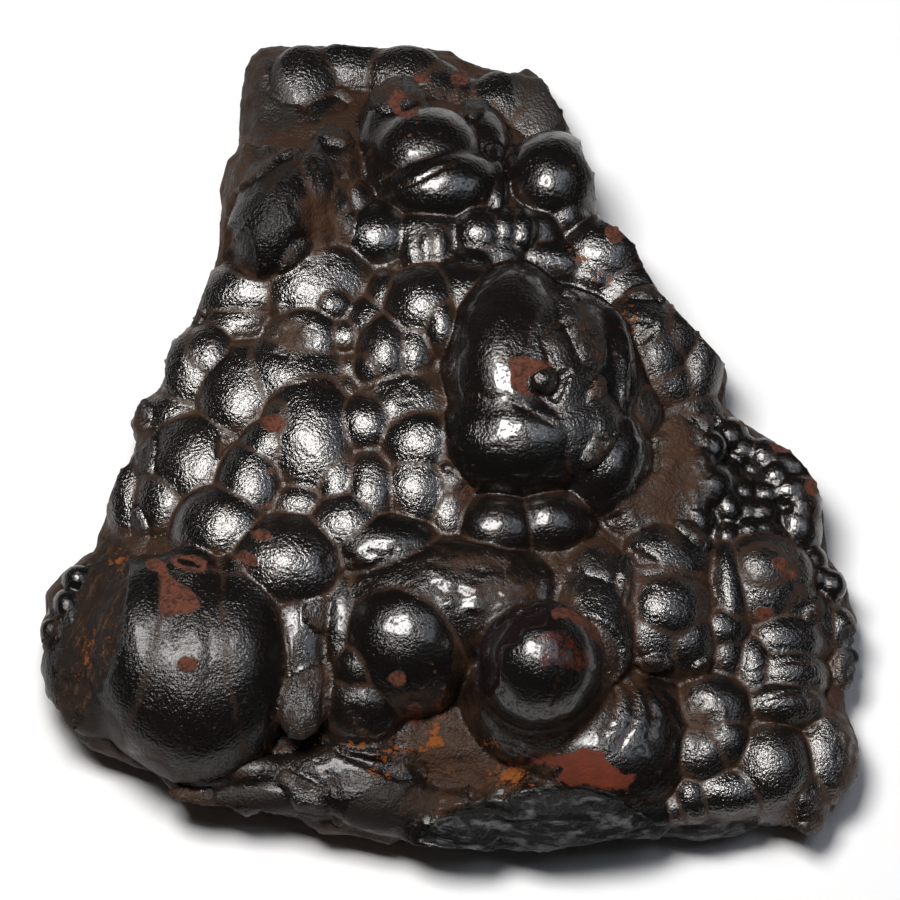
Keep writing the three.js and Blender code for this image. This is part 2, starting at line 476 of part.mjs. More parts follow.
// A ball whose skin is pushed out to the bed and its lumps, which meet in clean lines.
function skinGeometry(lumps) {
  const skin = withoutExtras(new THREE.IcosahedronGeometry(1, SKIN_DETAIL));
  const place = skin.getAttribute('position');
  const neighbours = neighboursOf(skin.index.array, place.count);
  let directions = Array.from({ length: place.count }, (_, i) => (
    new THREE.Vector3().fromBufferAttribute(place, i).normalize()
  ));
  for (let round = 0; round < EVENING_ROUNDS; round += 1) {
    directions = evenOut(directions, neighbours, lumps);
  }
  const owners = directions.map((direction) => skinAt(direction, lumps).owner);
  directions.forEach((_, i) => {
    const { point } = skinAt(ontoCrease(i, directions, neighbours, owners, lumps), lumps);
    place.setXYZ(i, point.x, point.y, point.z);
  });
  return skin;
}

// A ball that stands nearly free, which the skin can't follow round its underside.
function ballGeometry(lump) {
  return new THREE.SphereGeometry(1, BALL_SIDES, BALL_SIDES / 2)
    .rotateX(Math.PI / 2)
    .applyMatrix4(lump.pose);
}

function chunkGeometry() {
  return new ConvexGeometry(BROKEN_CHUNK.map((corner) => fromFace(...corner)));
}

// Everything of the specimen lies inside its outline, seen square to the face plane...
function outlinePrism() {
  const shape = new THREE.Shape(OUTLINE.map((corner) => new THREE.Vector2(...corner)));
  return new THREE.ExtrudeGeometry(shape, { depth: REACH, bevelEnabled: false })
    .translate(0, 0, -REACH / 2)
    .rotateX(Math.PI / 2 - FACE_RISE);
}

// ...and above the table.
function aboveTable() {
  return new THREE.BoxGeometry(REACH, REACH, REACH).translate(0, 0, REACH / 2);
}

const wasm = await Module();
wasm.setup();

function toSolid(geometry) {
  const closed = withoutExtras(geometry);
  return new wasm.Manifold(new wasm.Mesh({
    numProp: 3,
    vertProperties: new Float32Array(closed.getAttribute('position').array),
    triVerts: new Uint32Array(closed.index.array),
  }));
}

function toGeometry(solid) {
  const mesh = solid.getMesh();
  const geometry = new THREE.BufferGeometry();
  geometry.setAttribute('position', new THREE.BufferAttribute(mesh.vertProperties, 3));
  geometry.setIndex(new THREE.BufferAttribute(mesh.triVerts, 1));
  geometry.computeVertexNormals();
  return geometry;
}

function specimenGeometry() {
  const lumps = growLumps();
  let specimen = toSolid(skinGeometry(lumps.filter((lump) => !lump.loose && !lump.thin)));
  const raised = [...lumps.filter((lump) => lump.loose).map(ballGeometry), chunkGeometry()];
  for (const geometry of raised) specimen = specimen.add(toSolid(geometry));
  for (const trim of [outlinePrism(), aboveTable()]) specimen = specimen.intersect(toSolid(trim));
  const [middleX, middleY] = FOOTPRINT_MIDDLE;
  return toGeometry(specimen).translate(-middleX, -middleY, 0);
}

const group = new THREE.Group();
const specimen = new THREE.Mesh(specimenGeometry(), new THREE.MeshStandardMaterial(IRON_BLACK));
specimen.name = 'hematite_specimen';
group.add(specimen);

export default group;
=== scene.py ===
"""Botryoidal hematite: one hand specimen of kidney ore on a plain pale table."""

import math

import bmesh
import bpy
import numpy as np
from mathutils import Matrix, Vector, noise


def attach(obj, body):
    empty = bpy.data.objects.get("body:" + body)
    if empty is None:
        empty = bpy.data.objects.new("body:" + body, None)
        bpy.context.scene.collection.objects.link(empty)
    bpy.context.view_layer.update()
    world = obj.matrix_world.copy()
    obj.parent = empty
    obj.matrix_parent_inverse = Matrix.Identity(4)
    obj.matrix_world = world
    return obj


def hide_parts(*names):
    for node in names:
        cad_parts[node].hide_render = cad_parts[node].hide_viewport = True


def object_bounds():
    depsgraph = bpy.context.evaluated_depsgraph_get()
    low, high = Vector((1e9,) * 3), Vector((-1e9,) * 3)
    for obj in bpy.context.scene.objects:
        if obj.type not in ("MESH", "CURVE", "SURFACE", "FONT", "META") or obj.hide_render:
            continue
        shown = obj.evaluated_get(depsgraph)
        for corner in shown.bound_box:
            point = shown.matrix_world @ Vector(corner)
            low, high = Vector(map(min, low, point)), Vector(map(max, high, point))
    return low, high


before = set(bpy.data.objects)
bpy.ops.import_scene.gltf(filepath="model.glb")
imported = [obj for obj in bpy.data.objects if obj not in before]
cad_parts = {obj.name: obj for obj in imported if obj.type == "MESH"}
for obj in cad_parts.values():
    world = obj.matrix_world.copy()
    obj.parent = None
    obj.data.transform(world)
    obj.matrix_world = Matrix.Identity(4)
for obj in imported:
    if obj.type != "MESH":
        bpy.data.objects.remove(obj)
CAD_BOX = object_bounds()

bl_info = {
    "name": "Botryoidal Hematite",
    "version": (1, 0, 0),
    "blender": (4, 5, 0),
    "location": "View3D > Sidebar > Hematite",
    "description": "Grows a kidney ore specimen from its measured lumps and lights it on a table",
    "category": "Add Mesh",
}

MM = 0.001
NODE = "hematite_specimen"

# Places are measured on a face plane that is seen square from FACE_RISE above level: [across, up]
# in mm, and with the height above the table they give the place on the specimen.
FACE_RISE = math.radians(66)
COS, SIN = math.cos(FACE_RISE), math.sin(FACE_RISE)
FOOTPRINT_MIDDLE = np.array([0.0, -3.7, 0.0])

OUTLINE = np.array([
    [-34.7, 72.7], [-30.6, 72.9], [-27, 72.7], [-21.1, 73.1], [-18, 72.7], [-14.4, 72.4], [-9.9, 72.9],
    [-5.4, 72.5], [0, 71.8], [3.6, 69.8], [7.2, 68.9], [9, 68.2], [11.2, 67.5], [14, 68.9],
    [16.2, 67.3], [17.5, 65.7], [19.4, 62.1], [20.3, 61], [21.1, 58.3], [23.4, 54.9], [23.9, 52.7],
    [25.9, 49], [26.3, 44.5], [27.2, 40.7], [30.2, 39.1], [33.3, 36], [34.9, 32], [36.9, 28.8],
    [39.2, 26.1], [41.6, 23.4], [44.1, 20.7], [47.2, 17.6], [49.9, 14.4], [50.4, 12.1], [49.9, 8.6],
    [49.9, 6.7], [53.1, 4.1], [57.6, 1.1], [61.2, -1.1], [64.1, -4.1], [65.7, -6.7], [67.1, -10.4],
    [67.9, -16.2], [68.2, -20], [70.2, -22.5], [72, -26.5], [73.4, -31.9], [72.4, -35.6],
    [74.2, -38.7], [72.4, -41.9], [70.9, -45.9], [71.3, -48.1], [73.3, -54], [73.3, -59.4],
    [71.1, -61.9], [69.5, -62.8], [68.8, -65.3], [66.2, -68.9], [63.9, -70], [61.2, -68],
    [55.8, -68.9], [48.6, -70.7], [45, -70.9], [37.8, -70.4], [30.6, -70.2], [23.4, -72],
    [12.6, -72.7], [5.4, -72.4], [-1.8, -72], [-6.3, -71.5], [-8.6, -70.4], [-10.8, -71.6],
    [-17.1, -70], [-23.4, -69.7], [-27, -66.8], [-31.5, -65.9], [-33.8, -65.3], [-36.5, -66.4],
    [-39.6, -64.4], [-44.1, -64.4], [-49.5, -63], [-52.2, -59.4], [-57.6, -57.1], [-63, -55.3],
    [-66.2, -53.5], [-68.8, -49.5], [-72, -44.6], [-73.6, -40.1], [-72.7, -36], [-74.2, -33.3],
    [-72.7, -30.6], [-72.7, -26.6], [-69.8, -22.9], [-67, -21.2], [-64.4, -19.3], [-63.5, -16.2],
    [-61.7, -10.8], [-59.4, -4.5], [-57.2, -2.7], [-56.7, 0.9], [-57.2, 4.1], [-55.6, 8.1], [-53.1, 9],
    [-51.5, 11.7], [-51.3, 15.3], [-50, 18.5], [-47.3, 20.9], [-45.5, 24.3], [-44.1, 28.8],
    [-42.3, 33.3], [-41.4, 43.2], [-41.8, 46.4], [-40.3, 51.7], [-38.9, 53.6], [-38.5, 55.8],
    [-38.2, 62.1], [-37.6, 67.5], [-36, 71.1],
])
OUTLINE_MIDDLE = np.array([0, -4.5])

# Height of the bed between the lumps: [across, up, height].
BED_HEIGHTS = np.array([
    [-36, 67.5, 15], [-16.2, 68.2, 14], [3.6, 66.4, 14], [17.1, 62.1, 14], [-1.8, 53.1, 25],
    [-18, 47.7, 24], [-32.4, 42.3, 22], [25.2, 45.9, 19], [9, 36.9, 26], [32.4, 31.5, 20],
    [-41.4, 22.5, 20], [-23.4, 20.7, 25], [-5.4, 20.7, 27], [16.2, 13.5, 28], [37.8, 17.1, 22],
    [47.7, 11.7, 17], [-50.4, 2.7, 17], [-28.8, 0.9, 25], [-5.4, -0.9, 26], [-57.6, -9.9, 14],
    [-41.4, -13.5, 24], [-19.8, -13.5, 26], [12.6, -11.7, 25], [41.4, -2.7, 21], [54, -0.9, 15],
    [55.8, -13.5, 17], [66.6, -13.5, 12], [-68.4, -26.1, 15], [-45, -35.1, 21], [-27, -27.9, 26],
    [-1.8, -26.1, 27], [19.8, -27.9, 26], [37.8, -20.7, 22], [52.2, -27.9, 18], [66.6, -27.9, 12],
    [72, -35.1, 9], [-70.2, -44.1, 13], [-19.8, -58.9, 12.5], [0, -61.7, 12.5], [-37.8, -59.4, 10],
    [-54, -56.7, 11], [-36, -53.1, 14], [-16.2, -52.2, 19], [0, -53.1, 16.5], [19.8, -54, 18],
    [36, -53.1, 18], [52.2, -45.9, 17], [66.6, -47.7, 12], [70.2, -58.5, 9], [-48.6, -62.1, 8],
    [-27, -65.7, 10], [-5.4, -67.5, 9], [16.2, -69.3, 9], [37.8, -65.7, 10], [59.4, -63.9, 10],
])
# How the known heights blend: their reach in mm, how soft they are close by and how fast they fade.
BED_BLEND = 7.2
BED_SOFTNESS = 0.35
BED_SHARPNESS = 1.6
# The height in mm at which a place on the specimen is looked up on the face plane.
TYPICAL_HEIGHT = 22
# The width in mm over which the bed rolls off to its edge, the share of its height that is left
# there, and the share of its width that is left at the foot.
EDGE_ROLL = 9
RIM_SHARE = 0.55
FOOT_SHARE = 0.92

# Lumps, each grown on what stands before it in the list: [across, up, half width, half length,
# turn in degrees, bulge as a share of its half size, raise (0), lean with its slope (1)].
LUMPS = {
    "great_lump": [
        [18.7, 9.5, 17.3, 19.1, 0, 0.5, 0, 0.5], [10.3, 13.9, 12.1, 18.7, 0, 0.56, 0, 0.5],
        [12.1, 0.5, 13.9, 10.1, 0, 0.52, 0, 0.7], [29.2, -2.7, 7.6, 9, -8, 0.55, 0, 0.7],
        [31.1, 15.3, 2.9, 6.8, 6, 0.4],
    ],
    "swirl": [
        [19.8, 18, 7.9, 6.8, 0, 0.22], [20, 18, 2, 1.8, 0, 0.22], [16.7, 11.5, 2.5, 2.5, 0, 0.8],
        [23, 9.5, 5.4, 5.4, 0, 0.25], [24.1, 2.7, 6.8, 6.1, 0, 0.25], [21.1, 25.4, 2.5, 1.8, 30, 0.2],
        [28.1, 4.9, 2.9, 3.1, 0, 0.3],
    ],
    "barrel": [
        [-64.8, -37.8, 7.6, 11.2, 10, 0.3, 0, 0.6], [-60.8, -27.9, 5.4, 7.9, 0, 0.3, 0, 0.6],
        [-54.7, -36.9, 10.8, 16.7, 0, 0.84, 0, 0.2], [-37.6, -37.1, 9.5, 16.7, 0, 0.68, 0, 0.2],
        [-46.1, -37.1, 14, 16.6, 0, 0.4, 0, 0.2], [-47.2, -21.4, 5.8, 2.9, 0, 0.35, 0, 0.7],
        [-36, -22.1, 5.8, 4, 0, 0.3, 0, 0.7],
    ],
    "middle_low": [
        [-11.7, -18, 9.7, 5.8, 0, 0.35], [0.4, -27.5, 20.2, 11.2, 0, 0.33, 0, 0.4],
        [-26.3, -37.8, 5.4, 13, 0, 0.2, 0, 0.7], [-18.9, -32.4, 4, 9, 0, 0.3, 0, 0.5],
        [-8.1, -35.5, 11.5, 11.9, 0, 0.5, 0, 0.6], [-17.3, -41.2, 4.3, 4.7, 0, 0.4],
        [-16.6, -47, 7.6, 7.6, 0, 0.5], [-6.3, -44.1, 4.3, 3.6, 0, 0.35],
        [9, -14.2, 7.4, 5.8, 0, 0.5, 0, 0.4], [18.5, -13.5, 7.2, 5.8, 0, 0.42, 0, 0.4],
        [28.1, -51.3, 15.1, 13, 10, 0.36, 0, 0.4], [16.7, -42.7, 14.2, 13.5, 0, 0.6, 0, 0.3],
        [16, -40.7, 11.3, 10.8, 0, 1, 3.2, 0],
    ],
    "broken_lump": [
        [-30.6, 40.1, 8.3, 11.9, -25, 0.6, 3, 0.3],
    ],
    "top_row": [
        [-26.1, 66.8, 5.6, 5.6, 0, 0.22], [-17.6, 68.9, 6.8, 4.3, 0, 0.18],
        [-21.6, 61.4, 4.3, 4.3, 0, 0.15], [-8.6, 67.9, 6.5, 4.7, 0, 0.22],
        [-2.2, 65.3, 5, 4.7, 0, 0.22], [3.6, 62.5, 5, 4.3, 0, 0.22], [-8.3, 62.3, 4, 2.9, 0, 0.22],
        [10.1, 62.8, 6.1, 5, 0, 0.2], [15.8, 59.9, 5.4, 6.5, 0, 0.2],
    ],
    "crown": [
        [-9.7, 53.8, 7.2, 11.7, 0, 0.35, 0, 0.6], [-4, 53.1, 10.2, 8.5, 10, 0.58, 0, 0.7],
        [-0.4, 46.6, 10.4, 7, 4, 0.55], [6.5, 56, 5.1, 5.1, 0, 0.5, 0, 0.7],
        [18.4, 47.7, 9.3, 8.9, 0, 0.8, 0, 0.4], [9, 46.6, 1.9, 3.8, 0, 0.4],
    ],
    "saddle": [
        [-17.3, 43.6, 4.2, 4.5, 0, 0.45], [-13.3, 38, 6.8, 6.2, 0, 0.5],
        [-3.2, 37.3, 7.9, 5.5, 0, 0.4], [-6.7, 34.7, 2.3, 3.8, 0, 0.4], [-4, 35.3, 2.1, 3.8, 0, 0.4],
        [-1.6, 35.6, 2.1, 3.8, 0, 0.4], [5.4, 38.2, 4.9, 4.9, 0, 0.55], [10.3, 39.4, 3, 3.2, 0, 0.5],
        [13.7, 39.4, 2.8, 3, 0, 0.5], [18, 38.7, 4.2, 3.2, 10, 0.4], [22.1, 40.7, 3.6, 3.2, 0, 0.45],
        [28.4, 34.7, 8.5, 6.8, -15, 0.5], [32.8, 28.3, 6.4, 5.5, 0, 0.3],
        [19.8, 32.9, 7.2, 3.8, -10, 0.35], [0.4, 28.6, 7.6, 5.7, 0, 0.4], [8.5, 34.6, 4.7, 3, 0, 0.3],
        [3.6, 33.5, 3.4, 2.8, 0, 0.35], [26.1, 30.1, 4.7, 3, -20, 0.25],
    ],
    "shoulder": [
        [-20.9, 51.3, 5, 5.4, 0, 0.35], [-23.8, 47.7, 3.6, 4.5, 0, 0.35],
        [-20.5, 43.2, 4.5, 4.5, 0, 0.4], [-23.4, 36.9, 5, 5, 0, 0.35],
        [-18.7, 39.1, 3.1, 3.6, 0, 0.35],
    ],
    "left_field": [
        [-37.8, 25.9, 8.6, 6.5, 10, 0.42], [-39.6, 20.9, 7.3, 4.3, 15, 0.42],
        [-46.1, 12.8, 6.5, 7.8, 0, 0.4], [-38.2, 9.5, 8.2, 9.1, 0, 0.4],
        [-27.5, 13.1, 9.9, 6.9, -15, 0.3], [-24.7, 2, 8.9, 11.7, 4, 0.36],
        [-31.5, 4.5, 2.6, 2.6, 0, 0.3], [-34.2, -0.2, 4.8, 3.9, 0, 0.45],
        [-36.5, -6.7, 6.3, 7.1, 0, 0.45], [-19.3, -6.7, 3.9, 5.2, 0, 0.3],
        [-42.1, -13.9, 8, 6.5, 0, 0.4], [-47.9, -3.1, 11, 9.1, -10, 0.42],
        [-50.8, 5.4, 6.9, 4.3, 0, 0.35], [-53.3, -10.8, 5.4, 5.6, 0, 0.35],
        [-58.3, -9.4, 4.3, 6.9, 0, 0.35], [-19.4, -13.1, 5.8, 4.8, 0, 0.3],
        [-13.7, -6.3, 4.8, 6.7, 0, 0.4], [-5.6, -7.2, 6.3, 7.1, 0, 0.4], [-9, 6.7, 9.9, 7.8, 0, 0.3],
        [-15.1, 4.1, 5.2, 5, 0, 0.42], [-5.9, 0.5, 7.3, 6, 0, 0.4], [0, -7.7, 3.5, 7.3, 0, 0.2],
        [-27.7, -10.3, 4.3, 3, 0, 0.3], [0, -12.1, 3.5, 4.8, 0, 0.3], [-23, 28.6, 9.1, 7.8, 0, 0.25],
        [-20.7, 25.2, 3, 2.8, 0, 0.4], [-18.9, 19.8, 3.2, 2.8, 0, 0.4],
        [-11.9, 17.5, 5.2, 6.7, 0, 0.5], [-5.9, 17.5, 3.7, 5.4, 0, 0.5],
        [-5.4, 26.1, 7.3, 6.5, 0, 0.5], [-1.8, 21.1, 3, 4.8, 0, 0.5], [-12.6, 28.1, 3.2, 3, 0, 0.4],
        [-18, 13.3, 2.8, 2.8, 0, 0.35], [-15.1, 13.5, 2.6, 2.6, 0, 0.35],
        [-18.5, 10.3, 3, 2.6, 0, 0.35], [-27, 20.3, 6, 4.8, 0, 0.3], [-15.3, 23.6, 3.9, 3.7, 0, 0.35],
        [-43.7, 18, 3.9, 3.9, 0, 0.3], [-29, -20.3, 9.9, 8.2, 0, 0.4],
    ],
    "right_slope": [
        [38.2, 18.5, 5.4, 7.4, 0, 0.4], [41.4, 10.4, 5.8, 4, 0, 0.4], [45.7, 14.9, 4.5, 7.7, -12, 0.5],
        [35.1, 6.3, 3.8, 3.6, 0, 0.35], [35.1, 23.9, 5, 4, 0, 0.3], [35.6, -11.7, 7.4, 6.7, 0, 0.3],
        [42.1, 21.1, 3.4, 3.6, 0, 0.35], [44.6, 6.3, 4.5, 3.4, 0, 0.3], [43.2, 0.9, 4.5, 5.4, 0, 0.15],
        [40.5, -6.3, 5.4, 7.7, 0, 0.15],
    ],
    "grapes": [
        [47.7, -0.4, 2.8, 2.6, 0, 0.6], [51.3, 1.8, 3, 2.8, 0, 0.5], [53.5, -1.3, 3, 2.8, 0, 0.5],
        [47.7, -7.2, 5, 3.8, 0, 0.5], [50.6, -11.9, 3, 3.4, 0, 0.6], [50, -16.6, 2.6, 3, 0, 0.6],
        [54, -15.8, 2.8, 2.8, 0, 0.6], [53.6, -8.1, 2.8, 2.6, 0, 0.5], [57.2, -8.5, 2.6, 2.6, 0, 0.5],
        [54, -11.5, 2.6, 2.4, 0, 0.5], [56.9, -12.1, 2.6, 2.4, 0, 0.5],
        [57.1, -15.5, 2.6, 2.6, 0, 0.5], [59, -18, 2.6, 2.6, 0, 0.5], [62.3, -8.5, 4.8, 3.6, 0, 0.55],
        [63.4, -14.9, 4.4, 5, 0, 0.6], [59.9, -3.1, 5.2, 3, -10, 0.35], [58.1, -5, 2.8, 2.6, 0, 0.4],
        [56.5, -1.3, 2.6, 2.6, 0, 0.4], [65.7, -20.7, 2.4, 2.4, 0, 0.45],
        [66.6, -23.8, 2.6, 2.4, 0, 0.45], [69.1, -25, 2.2, 2.4, 0, 0.45], [45, -3.1, 2.6, 2.6, 0, 0.4],
        [44.5, -9.9, 2.6, 2.6, 0, 0.4], [45.5, -13.5, 2.6, 2.8, 0, 0.4],
        [64.8, -10.8, 2.8, 2.4, 0, 0.4], [60.8, -20.7, 2.8, 2.6, 0, 0.45],
        [51.3, -4.5, 2.4, 2.2, 0, 0.4],
    ],
    "lower_right": [
        [49.9, -26.1, 3.8, 8.9, 5, 0.62], [57.6, -24.3, 8.5, 8.1, 0, 0.5],
        [56.3, -21.8, 4.2, 3.8, 0, 0.3], [62.5, -23.8, 3.8, 4.2, 0, 0.3],
        [38.5, -30.1, 9.8, 11.5, 0, 0.42], [31.3, -29, 2.1, 7.6, 0, 0.5, 1.4],
        [43.2, -36, 5.5, 5.5, 0, 0.4], [36.4, -35.5, 5.1, 5.1, 0, 0.3],
        [62.6, -29.2, 4.9, 4.2, 0, 0.3], [60.5, -35.5, 7.4, 5.5, 0, 0.62, 0, 0.8],
        [61, -41.4, 7.4, 5.3, 0, 0.6, 0, 0.8], [60.1, -46.8, 8.1, 4.5, 0, 0.6, 0, 0.8],
        [50, -33.3, 4.2, 3.6, 0, 0.4], [50, -38.7, 3.6, 4.5, 0, 0.45],
        [54.4, -39.6, 3.4, 5.9, 0, 0.45], [44.5, -28.4, 2.8, 2.8, 0, 0.25],
        [39.2, -28.6, 5.3, 4.9, 0, 0.35, 0.4], [27, -28.8, 7.2, 9.8, 0, 0.35],
        [39.6, -18.9, 7.2, 5.5, 0, 0.3], [47.5, -46.6, 7, 5.9, 0, 0.45],
        [45.7, -55.6, 5.1, 5.1, 0, 0.45], [50, -53.3, 4.2, 4.2, 0, 0.45],
        [58.5, -58.1, 7.6, 7.9, 0, 0.55], [64.4, -63.4, 4, 5.7, 0, 0.4],
        [68.4, -55.3, 4.9, 6.6, 0, 0.3], [49.5, -62.8, 6.8, 4.2, 0, 0.42],
        [43.2, -63.9, 3.2, 4, 10, 0.55], [40, -65.7, 3.2, 3, 0, 0.55], [70.2, -33.3, 2.8, 3.8, 0, 0.4],
        [70.7, -39.8, 2.3, 3.4, 0, 0.4], [67.3, -32.2, 3.8, 4.7, 0, 0.3],
    ],
    "foot_left": [
        [-42.1, -58.9, 6, 2.6, 0, 0.3], [-33.1, -59.2, 6, 3, 0, 0.3], [-19.4, -59.9, 12.5, 6, 5, 0.22],
        [-36.9, -63.4, 12.1, 3, 4, 0.25], [-10.4, -64.4, 10.8, 4.8, -10, 0.25],
        [0.9, -67.9, 8.6, 5.6, 8, 0.3], [21.6, -66.4, 16.4, 6.5, 0, 0.32],
    ],
    "left_tip": [
        [-67, -23.9, 2.5, 2.2, 0, 0.6], [-69.1, -28.3, 2.3, 2.3, 0, 0.6],
        [-72, -32.9, 1.8, 1.8, 0, 0.5],
    ],
}
# How a lump finds its seat: places felt round its foot, rounds for its height, how upright it
# grows at least, and the least share to which its lean shortens it on the face plane.
SEAT_SAMPLES = 8
SEAT_ROUNDS = 10
LEAST_UPRIGHT = 0.8
LEAST_SHORTENING = 0.6
# A bulge below LOW_BULGE is the cap of a ball so many times as wide as the foot.
LOW_BULGE = 0.55
CAP_SPREAD = 1.2

# The broken chunk at the far left: corners as [across, up, height].
BROKEN_CHUNK = [
    [-41, 32.9, 18], [-37.8, 39.6, 25], [-33.8, 46.8, 27.5], [-27, 53.8, 28.5], [-24.8, 51.3, 27],
    [-27, 44.1, 25], [-29.7, 36.9, 22], [-33.8, 29.7, 18], [-40, 37.8, 21], [-40.3, 47.7, 20],
    [-37.8, 54.9, 22], [-32.4, 41.4, 4], [-36, 49.5, 4], [-27, 44.1, 4],
]


def from_face(across, up, height):
    """The place on the specimen of a place on the face plane at a height."""
    return np.stack([across, (up - height * COS) / SIN, height], axis=-1)


def up_on_face(y, height):
    return y * SIN + height * COS


def bed_height(across, up):
    """Mean of the known bed heights, weighted by nearness."""
    far = ((across[..., None] - BED_HEIGHTS[:, 0]) ** 2 + (up[..., None] - BED_HEIGHTS[:, 1]) ** 2)
    weight = (far / BED_BLEND**2 + BED_SOFTNESS) ** -BED_SHARPNESS
    return (weight * BED_HEIGHTS[:, 2]).sum(-1) / weight.sum(-1)


# The distance in mm beyond which a lump doesn't matter to a point.
FAR = 4.0


class Lumps:
    """The lumps of the specimen as stretched balls: middles, and what turns each to a unit ball."""

    def __init__(self):
        self.groups = []
        self.middles = np.empty((0, 3))
        self.poses = np.empty((0, 3, 3))
        for group, rows in LUMPS.items():
            for row in rows:
                self.add(group, *row)
        self.middles = self.middles - FOOTPRINT_MIDDLE
        self.to_unit = np.linalg.inv(self.poses)
        self.radii = np.linalg.norm(self.poses, axis=1)
        widths = [CREASE_WIDTHS[group] for group in self.groups]
        self.crease_widths = np.array(widths + [BED_CREASE_WIDTH])

    def surface_height(self, across, y):
        """Height of the surface so far above some points: the bed or the highest lump there."""
        top = bed_height(across, up_on_face(y, TYPICAL_HEIGHT))
        if not len(self.middles):
            return top
        to_unit = np.linalg.inv(self.poses)
        points = np.stack([across, y, np.zeros_like(y)], axis=-1)
        start = np.einsum("nij,knj->kni", to_unit, points[:, None] - self.middles)
        step = to_unit[:, :, 2]
        a = (step * step).sum(-1)
        b = (start * step).sum(-1)
        inside = b * b - a * ((start * start).sum(-1) - 1)
        lump_top = np.where(inside > 0, (np.sqrt(np.maximum(inside, 0)) - b) / a, 0)
        return np.maximum(top, lump_top.max(-1))

    def seat(self, across, up, half_width, half_length, turn, lean):
        """The mean height of a lump's foot, and the direction it grows in."""
        spot = np.array([float(across)])
        height = bed_height(spot, np.array([float(up)]))
        for _ in range(SEAT_ROUNDS):
            y = (up - height * COS) / SIN
            height = (height + self.surface_height(spot, y)) / 2
        y = (up - height * COS) / SIN
        angle = 2 * math.pi * np.arange(SEAT_SAMPLES) / SEAT_SAMPLES
        wide, long = half_width * np.cos(angle), half_length * np.sin(angle)
        dx = wide * math.cos(turn) - long * math.sin(turn)
        dy = (wide * math.sin(turn) + long * math.cos(turn)) / SIN
        foot = self.surface_height(across + dx, y + dy)
        level = foot.mean()
        slope_x = (dx * (foot - level)).sum() / (dx * dx).sum()
        slope_y = (dy * (foot - level)).sum() / (dy * dy).sum()
        grow = Vector((-slope_x * lean, -slope_y * lean, 1)).normalized()
        if grow.z < LEAST_UPRIGHT:
            flat = math.sqrt((1 - LEAST_UPRIGHT**2) / (grow.x**2 + grow.y**2))
            grow = Vector((grow.x * flat, grow.y * flat, LEAST_UPRIGHT))
        return min(level, height[0]), grow

    def add(self, group, across, up, half_width, half_length, degrees, bulge, lift=0, lean=1):
        turn = math.radians(degrees)
        level, grow = self.seat(across, up, half_width, half_length, turn, lean)
        half_length = half_length / max(LEAST_SHORTENING, SIN * grow.z - COS * grow.y)
        radii, middle = cap_radii(half_width, half_length, bulge)
        side = (Vector((1, 0, 0)) - grow * grow.x).normalized()
        wide = Matrix.Rotation(turn, 3, grow) @ side
        pose = Matrix((wide, grow.cross(wide), grow)).transposed()
        place = Vector((across, (up - level * COS) / SIN, level)) + grow * (lift + middle)
        self.groups.append(group)
        self.middles = np.vstack([self.middles, np.array(place)])
        self.poses = np.concatenate([self.poses, (np.array(pose) * radii)[None]])

    def distances(self, points):
        """How far points lie outside the nearest lump and the next one, the nearest's number, and
        the way out from each of the two."""
        nearest = np.full(len(points), FAR)
        second = np.full(len(points), FAR)
        owner = np.full(len(points), -1)
        slope = np.zeros((len(points), 3))
        next_slope = np.zeros((len(points), 3))
        for i, (middle, to_unit, radii) in enumerate(zip(self.middles, self.to_unit, self.radii)):
            offset = points - middle
            near = np.flatnonzero((offset**2).sum(-1) < (radii.max() + FAR) ** 2)
            unit = offset[near] @ to_unit.T
            reach = np.linalg.norm(unit, axis=-1)
            uphill = unit @ to_unit
            steep = np.linalg.norm(uphill, axis=-1)
            far = reach * (reach - 1) / steep
            out = uphill / steep[:, None]
            closer = far < nearest[near]
            between = ~closer & (far < second[near])
            won, placed = near[closer], near[between]
            second[won], next_slope[won] = nearest[won], slope[won]
            second[placed], next_slope[placed] = far[between], out[between]
            nearest[won], slope[won], owner[won] = far[closer], out[closer], i
        return nearest, second, owner, slope, next_slope


def cap_radii(half_width, half_length, bulge):
    """Radii of the ball that shows as a cap of a foot and height, and its middle over the foot."""
    size = math.sqrt(half_width * half_length)
    rise = bulge * size
    if bulge < LOW_BULGE:
        depth = rise / (1 - math.sqrt(1 - 1 / CAP_SPREAD**2))
        return np.array([half_width * CAP_SPREAD, half_length * CAP_SPREAD, depth]), rise - depth
    if bulge >= 1:
        return np.array([half_width, half_length, rise]), 0
    radius = (size**2 + rise**2) / (2 * rise)
    return np.array([half_width / size, half_length / size, 1]) * radius, rise - radius


def mesh_object(name, points, faces):
    """An object whose points are given in mm."""
    mesh = bpy.data.meshes.new(name)
    mesh.from_pydata((np.asarray(points) * MM).tolist(), [], faces)
    mesh.validate()
    made = bpy.data.objects.new(name, mesh)
    bpy.context.scene.collection.objects.link(made)
    return made


# The bed's even rings, the shares of its width where the rings at its edge lie, and how far in mm
# it reaches below the table before it is cut off there.
BED_RINGS = 40
EDGE_SHARES = [0.985, 0.992, 0.997, 1]
UNDERCUT = 3.0


